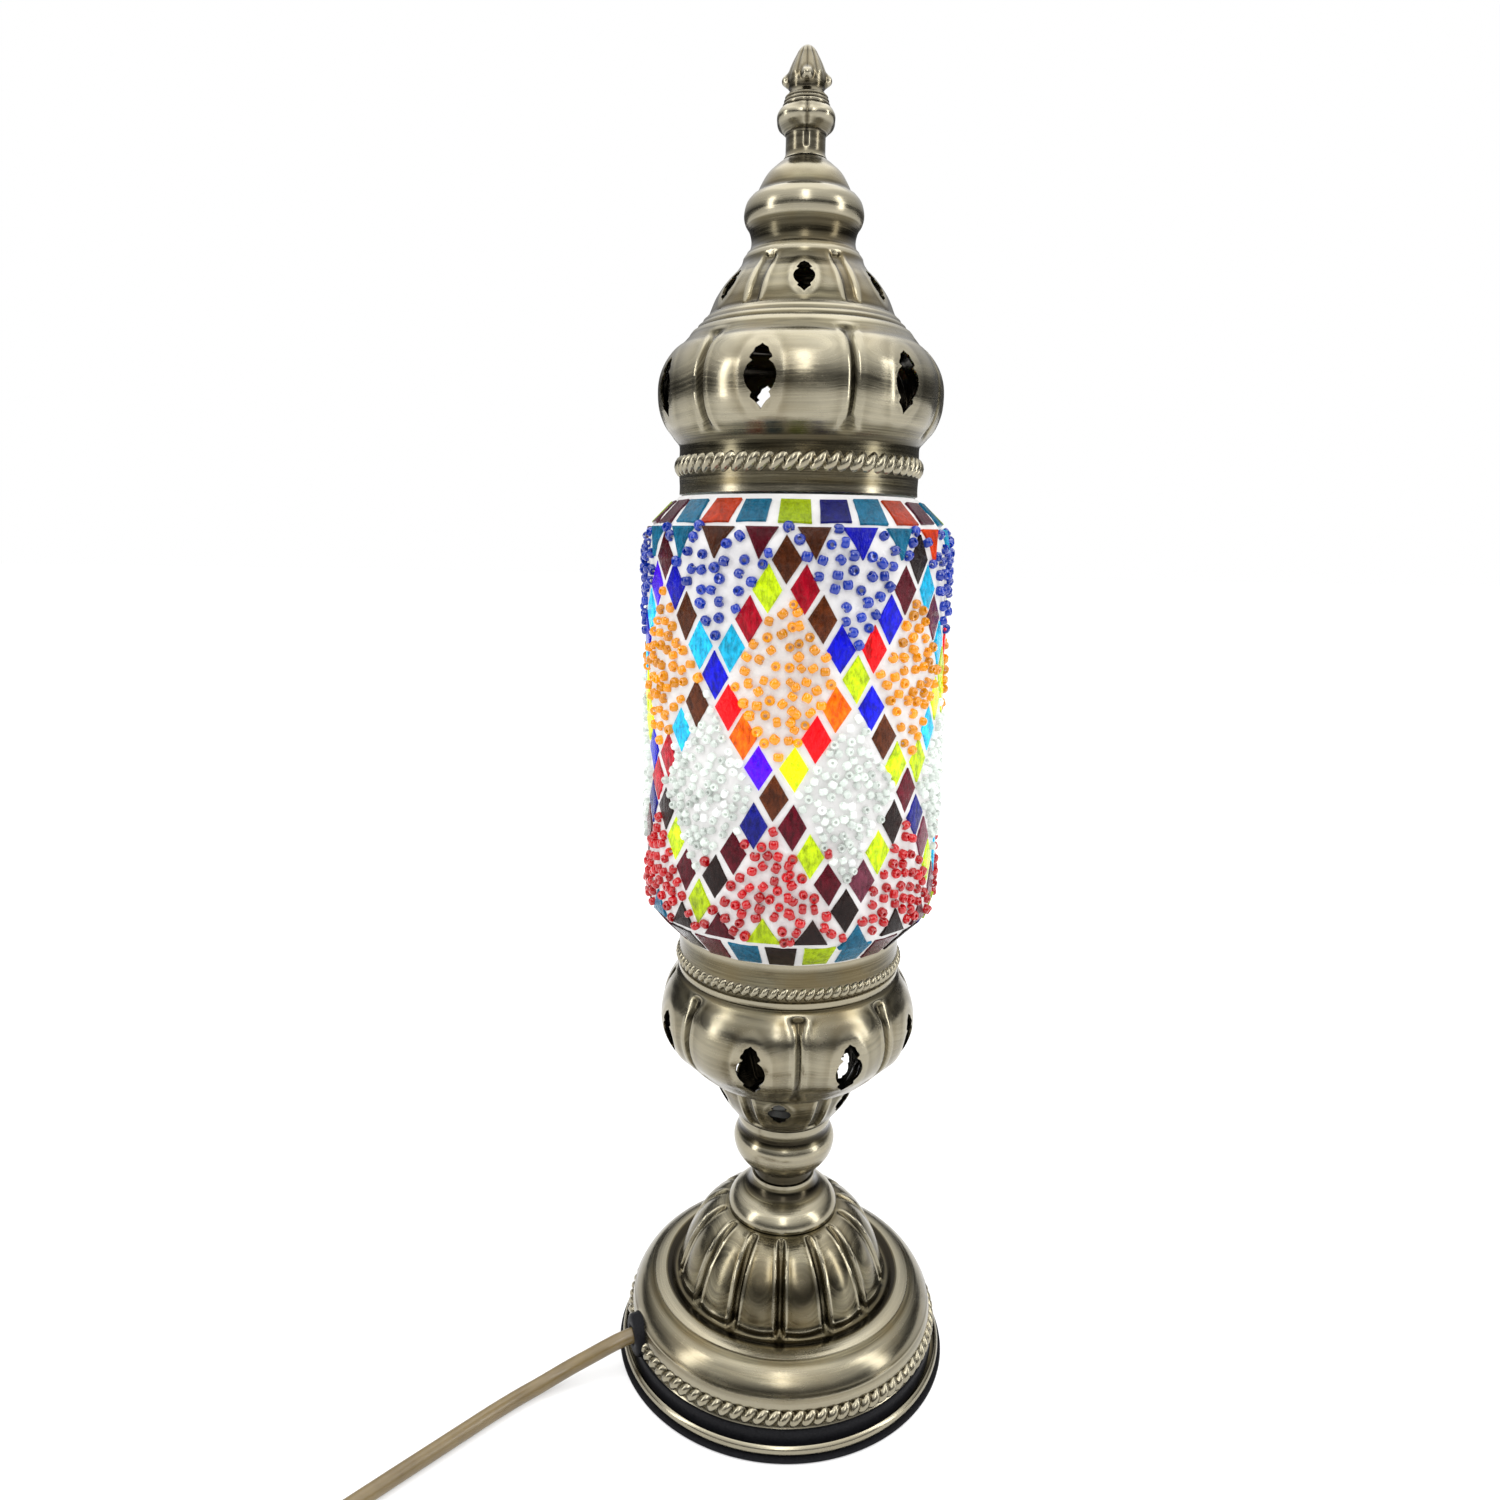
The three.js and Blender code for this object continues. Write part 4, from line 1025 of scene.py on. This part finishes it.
def mosaic_point(angle, travel):
    """A point on the grout, with its directions to the right, up along the surface, and outwards."""
    r, z = on_grout(travel)
    r1, z1 = on_grout(travel - 0.8)
    r2, z2 = on_grout(travel + 0.8)
    right, out = directions(angle)
    up = (out * (r2 - r1) + Vector((0, 0, z2 - z1))).normalized()
    return out * r + Vector((0, 0, z)), right, up, right.cross(up)


class Patches:
    """Many small pieces of glass gathered into one mesh, each with its own colour and strength of painted
    glow.
    """

    def __init__(self):
        self.vertices, self.faces, self.tints, self.lights = [], [], [], []

    def add(self, vertices, faces, tint, light):
        base = len(self.vertices)
        self.vertices += vertices
        self.faces += [tuple(base + i for i in face) for face in faces]
        self.tints += [(*tint, 1)] * len(vertices)
        self.lights += [light] * len(vertices)

    def piece(self, name, material):
        mesh = mesh_of(name, self.vertices, self.faces)
        colours = mesh.attributes.new("tint", "FLOAT_COLOR", "POINT")
        colours.data.foreach_set("color", np.array(self.tints, np.float32).ravel())
        lights = mesh.attributes.new("light", "FLOAT", "POINT")
        lights.data.foreach_set("value", np.array(self.lights, np.float32))
        return finish_object(into_scene(name, mesh), "glass", material, (), 42)


def node_angle(row, index):
    return NODE_ROWS[row][1][index % COLUMNS] + 360 * (index // COLUMNS)


def nodes_below(row, index):
    """The angles of the nodes below a node, to its left and to its right."""
    left = index - 1 if row != 1 else index
    return node_angle(row + 1, left), node_angle(row + 1, left + 1)


BANDS = {  # tiles from a node down to the next row's node at its left or right, as seen from outside
    (0, 0, "left"): "violet cyan blue", (0, 0, "right"): "blue brown cyan",
    (0, 1, "left"): "lime crimson cyan", (0, 1, "right"): "crimson brown blue",
    (0, 2, "left"): "wine blue red", (0, 2, "right"): "cyan mauve cyan",
    (1, 0, "left"): "brown cyan crimson", (1, 0, "right"): "red orange violet",
    (1, 1, "left"): "orange red yellow", (1, 1, "right"): "blue brown lime",
    (1, 2, "left"): "lime cyan lime", (1, 6, "right"): "lime yellow blue",
    (2, 0, "left"): "navy wine wine", (2, 0, "right"): "black lime wine",
    (2, 1, "left"): "navy wine black", (2, 1, "right"): "wine lime wine",
    (2, 2, "left"): "black lime mauve", (2, 2, "right"): "navy mauve lime",
}
NODES = (
    "wine brown black wine brown navy wine", "blue lime lime blue orange lime cyan",
    "crimson brown wine brown blue wine brown", "lime black mauve lime black wine brown",
)
ANY_TINT = "lime cyan blue violet wine crimson red orange brown yellow brown"
# The border rings' tints, one ring after another from the top: oblongs, triangles and oblongs.
TOP_RING = ("lime navy teal rust mauve teal lime wine teal blue rust teal "
            "lime navy teal mauve red teal lime mauve mauve teal rust teal")
FEET = ("lime black teal black wine lime navy brown lime black teal wine "
        "lime brown navy black lime wine teal black wine")
SKIRT = ("black lime teal wine black navy mauve teal brown lime wine teal black lime navy wine teal brown "
         "lime black wine black wine teal")


def diamond(width, height, rng):
    corners = ((0, -height / 2), (width / 2, 0), (0, height / 2), (-width / 2, 0))
    return [(x + rng.uniform(-0.35, 0.35), y + rng.uniform(-0.35, 0.35)) for x, y in corners]


def add_tile(patches, angle, travel, corners, tint, rng, footprints, proud=0.45):
    """One cut piece of sheet glass, set in the grout with its top edges ground."""
    place, right, up, out = mosaic_point(angle, travel)
    lean_x, lean_y = rng.uniform(-0.035, 0.035), rng.uniform(-0.035, 0.035)
    top = proud + rng.uniform(-0.08, 0.1)
    n = len(corners)
    middle_x, middle_y = (sum(values) / n for values in zip(*corners))
    vertices = []
    for inset, level in ((0.0, -1.7), (0.0, top - 0.28), (0.15, top - 0.08), (0.48, top)):
        for x, y in corners:
            dx, dy = x - middle_x, y - middle_y
            share = inset / math.hypot(dx, dy)
            px, py = x - dx * share, y - dy * share
            vertices.append(tuple(place + right * px + up * py + out * (level + px * lean_x + py * lean_y)))
    faces = [tuple(range(n))[::-1], tuple(3 * n + i for i in range(n))]
    for ring in range(3):
        faces += [(ring * n + i, ring * n + (i + 1) % n, (ring + 1) * n + (i + 1) % n, (ring + 1) * n + i)
                  for i in range(n)]
    light, depth = rng.uniform(0.8, 1.15), rng.uniform(0.8, 1.15)
    patches.add(vertices, faces, tuple(min(1.0, c * depth) for c in TINTS[tint]), light)
    footprints.append((angle, travel, corners))


def band_colours(row, index, side, rng):
    found = BANDS.get((row, index, side))
    return found.split() if found else [rng.choice(ANY_TINT.split()) for _ in range(3)]


def lay_tiles(rng):
    patches, footprints = Patches(), []
    for row, (height, _) in enumerate(NODE_ROWS):
        for index, tint in enumerate(NODES[row].split()):
            angle = node_angle(row, index)
            add_tile(patches, angle, height, diamond(9.6, 15.4, rng), tint, rng, footprints)
            if row == len(NODE_ROWS) - 1:
                continue
            fall = NODE_ROWS[row + 1][0] - height
            for side, end in zip(("left", "right"), nodes_below(row, index)):
                for step, tint in enumerate(band_colours(row, index, side, rng), 1):
                    share = step / 4
                    place, travel = angle + (end - angle) * share, height + fall * share
                    add_tile(patches, place, travel, diamond(9.4, 15.2, rng), tint, rng, footprints)
    lay_borders(patches, footprints, rng)
    patches.piece("cut_glass_tiles", CUT_GLASS)
    return footprints


def lay_borders(patches, footprints, rng):
    """Hanging triangles and a ring of oblongs above, and standing triangles and oblongs below."""
    seen = {0: ("teal", "teal", "brown"), 1: ("wine", "brown", "blue"), 2: ("teal", "rust", "cyan")}
    for index in range(COLUMNS):
        angle = node_angle(0, index)
        between = (angle + node_angle(0, index + 1)) / 2
        drawn = [rng.choice(("teal", "wine", "brown", "blue", "rust")) for _ in range(3)]
        colours = seen.get(index, drawn)
        for place, tint, wide in zip((angle - 9, angle + 9, between), colours, (10.2, 10.2, 11.4)):
            corners = [(rng.uniform(-0.6, 0.6), -5.2), (wide / 2, 4.7), (-wide / 2, 4.7)]
            add_tile(patches, place, 316.6, corners, tint, rng, footprints)
    for index, tint in enumerate(TOP_RING.split()):
        slant = rng.uniform(-0.7, 0.7)
        w, h = rng.uniform(9.6, 10.6) / 2, rng.uniform(9.2, 10.4) / 2
        corners = [(slant - w, -h), (slant + w, -h + rng.uniform(-0.4, 0.4)),
                   (w - slant - 0.6, h), (0.6 - w - slant, h)]
        add_tile(patches, -1 + 15 * index + rng.uniform(-0.7, 0.7), 327.8, corners, tint, rng, footprints)
    feet = FEET.split()
    for index, tint in enumerate(feet):
        angle = -9 + 360 * index / len(feet)
        corners = [(-5.6, -4.2), (5.6, -4.2), (rng.uniform(-0.5, 0.5), 4.6)]
        near_node = min(abs(float(turn_gap(angle, node_angle(3, k)))) for k in range(COLUMNS)) < 7
        add_tile(patches, angle, 189.4 if near_node else 192.2, corners, tint, rng, footprints)
    for index, tint in enumerate(SKIRT.split()):
        corners = [(-4.2, -5.6), (4.2, -5.6), (5.3, 6.2), (-5.3, 6.2)]
        add_tile(patches, -3 + 15 * index + rng.uniform(-0.8, 0.8), 179.2, corners, tint, rng, footprints)


def inside(corners, x, y, margin):
    """Is a point within margin of a convex outline that is drawn anticlockwise?"""
    for (x1, y1), (x2, y2) in zip(corners, corners[1:] + corners[:1]):
        length = math.hypot(x2 - x1, y2 - y1)
        if ((x2 - x1) * (y - y1) - (y2 - y1) * (x - x1)) / length < -margin:
            return False
    return True


def cells_behind(footprints, rows, around):
    """The grout's cells that lie behind tiles, as (row, column)."""
    step = 360 / around
    cells = set()
    for angle, travel, corners in footprints:
        radius = on_grout(travel)[0]
        reach = max(math.hypot(x, y) for x, y in corners)
        span = int(math.degrees(reach / radius) / step) + 2
        middle = int(round((angle % 360) / step))
        for i in np.nonzero(np.abs(rows - travel) < reach)[0][:-1]:
            y = (rows[i] + rows[min(i + 1, len(rows) - 1)]) / 2 - travel
            for k in range(middle - span, middle + span):
                x = math.radians(float(turn_gap((k + 0.5) * step, angle))) * radius
                if inside(corners, x, y, -0.75):
                    cells.add((int(i), k % around))
    return cells


def uneven(rows, around, height=0.07):
    """Soft random bumps for the grout's surface."""
    bumps = np.random.default_rng(5).normal(0, 1, (rows, around))
    for _ in range(3):
        bumps = (bumps + np.roll(bumps, 1, 0) + np.roll(bumps, 1, 1) + np.roll(bumps, -1, 0)
                 + np.roll(bumps, -1, 1)) / 5
    return bumps / bumps.std() * height


def build_grout(footprints):
    """The white filling, open behind each tile so that light comes through."""
    around, count, plain_rows = 480, 240, 6
    rows = np.linspace(TRAVEL[0], TRAVEL[-1], count)
    swell = uneven(count, around)
    swell[:plain_rows + 1] = 0
    swell[-plain_rows:] = 0
    r, z = on_grout(rows)
    angles = np.radians(np.arange(around) * 360 / around)
    reach = r[:, None] + swell
    height = np.repeat(z[:, None], around, 1)
    vertices = np.stack([reach * np.sin(angles), -reach * np.cos(angles), height], -1).reshape(-1, 3).tolist()
    open_cells = cells_behind(footprints, rows, around)
    faces = [(i * around + k, i * around + (k + 1) % around, (i + 1) * around + (k + 1) % around,
              (i + 1) * around + k)
             for i in range(count - 1) for k in range(around) if (i, k) not in open_cells]
    for i, inset in ((0, 0.5), (count - 1, -0.5)):
        base = len(vertices)
        vertices += [(x * 0.987, y * 0.987, z + inset) for x, y, z in vertices[i * around:(i + 1) * around]]
        for k in range(around):
            m = (k + 1) % around
            faces.append((i * around + k, i * around + m, base + m, base + k))
    make_object("grout", vertices, faces, "glass", GROUT, ("mosaic_sleeve",), 60)


def bead_kind(angle, travel):
    """The colour of beads at a place, from the bands of tiles round it."""
    if travel > NODE_ROWS[0][0]:
        return "blue"
    for row, (below_node, beside) in enumerate((("amber", "blue"), ("clear", "amber"), ("red", "clear"))):
        high, low = NODE_ROWS[row][0], NODE_ROWS[row + 1][0]
        if travel < low:
            continue
        share = (high - travel) / (high - low)
        for index in range(COLUMNS):
            top = node_angle(row, index)
            left, right = (top + (end - top) * share for end in nodes_below(row, index))
            if 0 < (angle - left) % 360 < right - left:
                return below_node
        return beside
    return "red"


def bead_mesh(radius, rng):
    """A short glass drum with a hole, turned about +Z."""
    r, half, hole = radius * rng.uniform(0.88, 1.08), radius * rng.uniform(0.66, 0.86), radius * 0.38
    line = [(hole, -half * 0.9), (r * 0.72, -half), (r * 0.97, -half * 0.55), (r * 0.97, half * 0.55),
            (r * 0.72, half), (hole, half * 0.9)]
    return spun(line, 11)


def over_a_tile(angle, travel, footprints):
    for tile_angle, tile_travel, corners in footprints:
        if abs(tile_travel - travel) > 10:
            continue
        across = math.radians(float(turn_gap(angle, tile_angle))) * WALL_RADIUS
        if abs(across) < 9 and inside(corners, across, travel - tile_travel, 1.3):
            return True
    return False


def scatter_beads(footprints, rng, tries=60000, cell=4):
    """Random places that keep their distance from each other and from the tiles."""
    placed, near = [], {}
    for _ in range(tries):
        angle, travel = rng.uniform(0, 360), rng.uniform(189, 322.5)
        kind = bead_kind(angle, travel)
        x = math.radians(angle) * WALL_RADIUS
        gap = BEADS[kind].spacing * rng.uniform(0.92, 1.12)
        column, row = int(x // cell), int(travel // cell)
        others = [p for i in (-1, 0, 1) for j in (-1, 0, 1) for p in near.get((column + i, row + j), ())]
        crowded = any(math.hypot(x - p[0], travel - p[1]) < gap for p in others)
        if not crowded and not over_a_tile(angle, travel, footprints):
            near.setdefault((column, row), []).append((x, travel))
            placed.append((angle, travel, kind))
    return placed


def lay_beads(footprints, rng):
    patches = Patches()
    for angle, travel, kind in scatter_beads(footprints, rng):
        if kind == "clear" and travel < 222 and rng.random() < 0.10:
            kind = "red"
        place, right, up, out = mosaic_point(angle, travel)
        vertices, faces = bead_mesh(BEADS[kind].radius, rng)
        if rng.random() < 0.34:
            axis = out + right * rng.uniform(-0.35, 0.35) + up * rng.uniform(-0.35, 0.35)
        else:
            spin = rng.uniform(0, math.tau)
            axis = right * math.cos(spin) + up * math.sin(spin) + out * rng.uniform(-0.2, 0.2)
        turn = Vector((0, 0, 1)).rotation_difference(axis.normalized())
        centre = place + out * rng.uniform(0.35, 0.75)
        depth = rng.uniform(0.7, 1.15)
        tint = tuple(min(1.0, c * depth) for c in BEADS[kind].tint)
        light = BEADS[kind].light * rng.uniform(0.7, 1.2)
        patches.add([tuple(turn @ Vector(v) + centre) for v in vertices], faces, tint, light)
    patches.piece("seed_beads", BEAD_GLASS)


def build_glass():
    outer = outline(
        [(39.4, 342), (39.4, 333.4), (40.6, 331.0)], [(40.6, 331.0), (48.6, 322.4)],
        [(48.6, 322.4), (50.0, 319.6), (50.1, 315)], [(50.1, 315), (50.1, 193)],
        [(50.1, 193), (49.8, 188.6), (47.8, 185.4)], [(47.8, 185.4), (39.9, 177.2)],
        [(39.9, 177.2), (39.4, 175.6), (39.4, 166.4)], spacing=2.0)
    turned_piece("glass_cylinder", sheet(outer, 2.4), 120, "glass", CLEAR_GLASS, ("glass_vessel",))


def build_bulb():
    c = BULB_CENTRE
    line = outline(
        [(0.05, c + 22.5), (10, c + 20.2), (18.6, c + 12.6), (22.3, c + 1), (20, c - 10.4), (14.5, c - 18)],
        [(14.5, c - 18), (9, c - 24), (6.8, c - 27.4), (6.6, 215.9)], spacing=1.2)
    turned, faces = spun(line, 64, None, False)
    make_object("bulb_glass", turned, faces, "bulb", BULB_GLASS, ("bulb_envelope",))


def dress_hidden_nodes():
    """Materials for the CAD nodes that keep their own shape."""
    finishes = {
        STEEL: "base_washer base_jam_nut foot_nut threaded_rod bowl_washer bowl_jam_nut seat_under_nut "
               "glass_seat_plate seat_nut bulb_contact bulb_cap finial_washer finial_nut",
        PLAIN_BRASS: "holder_contact holder_screw_shell",
        WHITE_PLASTIC: "holder_body holder_insulator",
        RUBBER: "inner_lead",
        BULB_GLASS: "bulb_stem",
    }
    for material, names in finishes.items():
        for name in names.split():
            node = bpy.data.objects[name]
            node.data.materials.clear()
            node.data.materials.append(material)


add_studio()
cord, cord_length, cord_start = build_cord()
cord_pieces = build_switch() + build_plug() + [build_tie()]
build_grommet()
build_base()
build_neck()
build_bowl()
build_hood()
build_finial()
tile_places = lay_tiles(random.Random(11))
build_grout(tile_places)
lay_beads(tile_places, random.Random(23))
build_glass()
build_bulb()
dress_hidden_nodes()
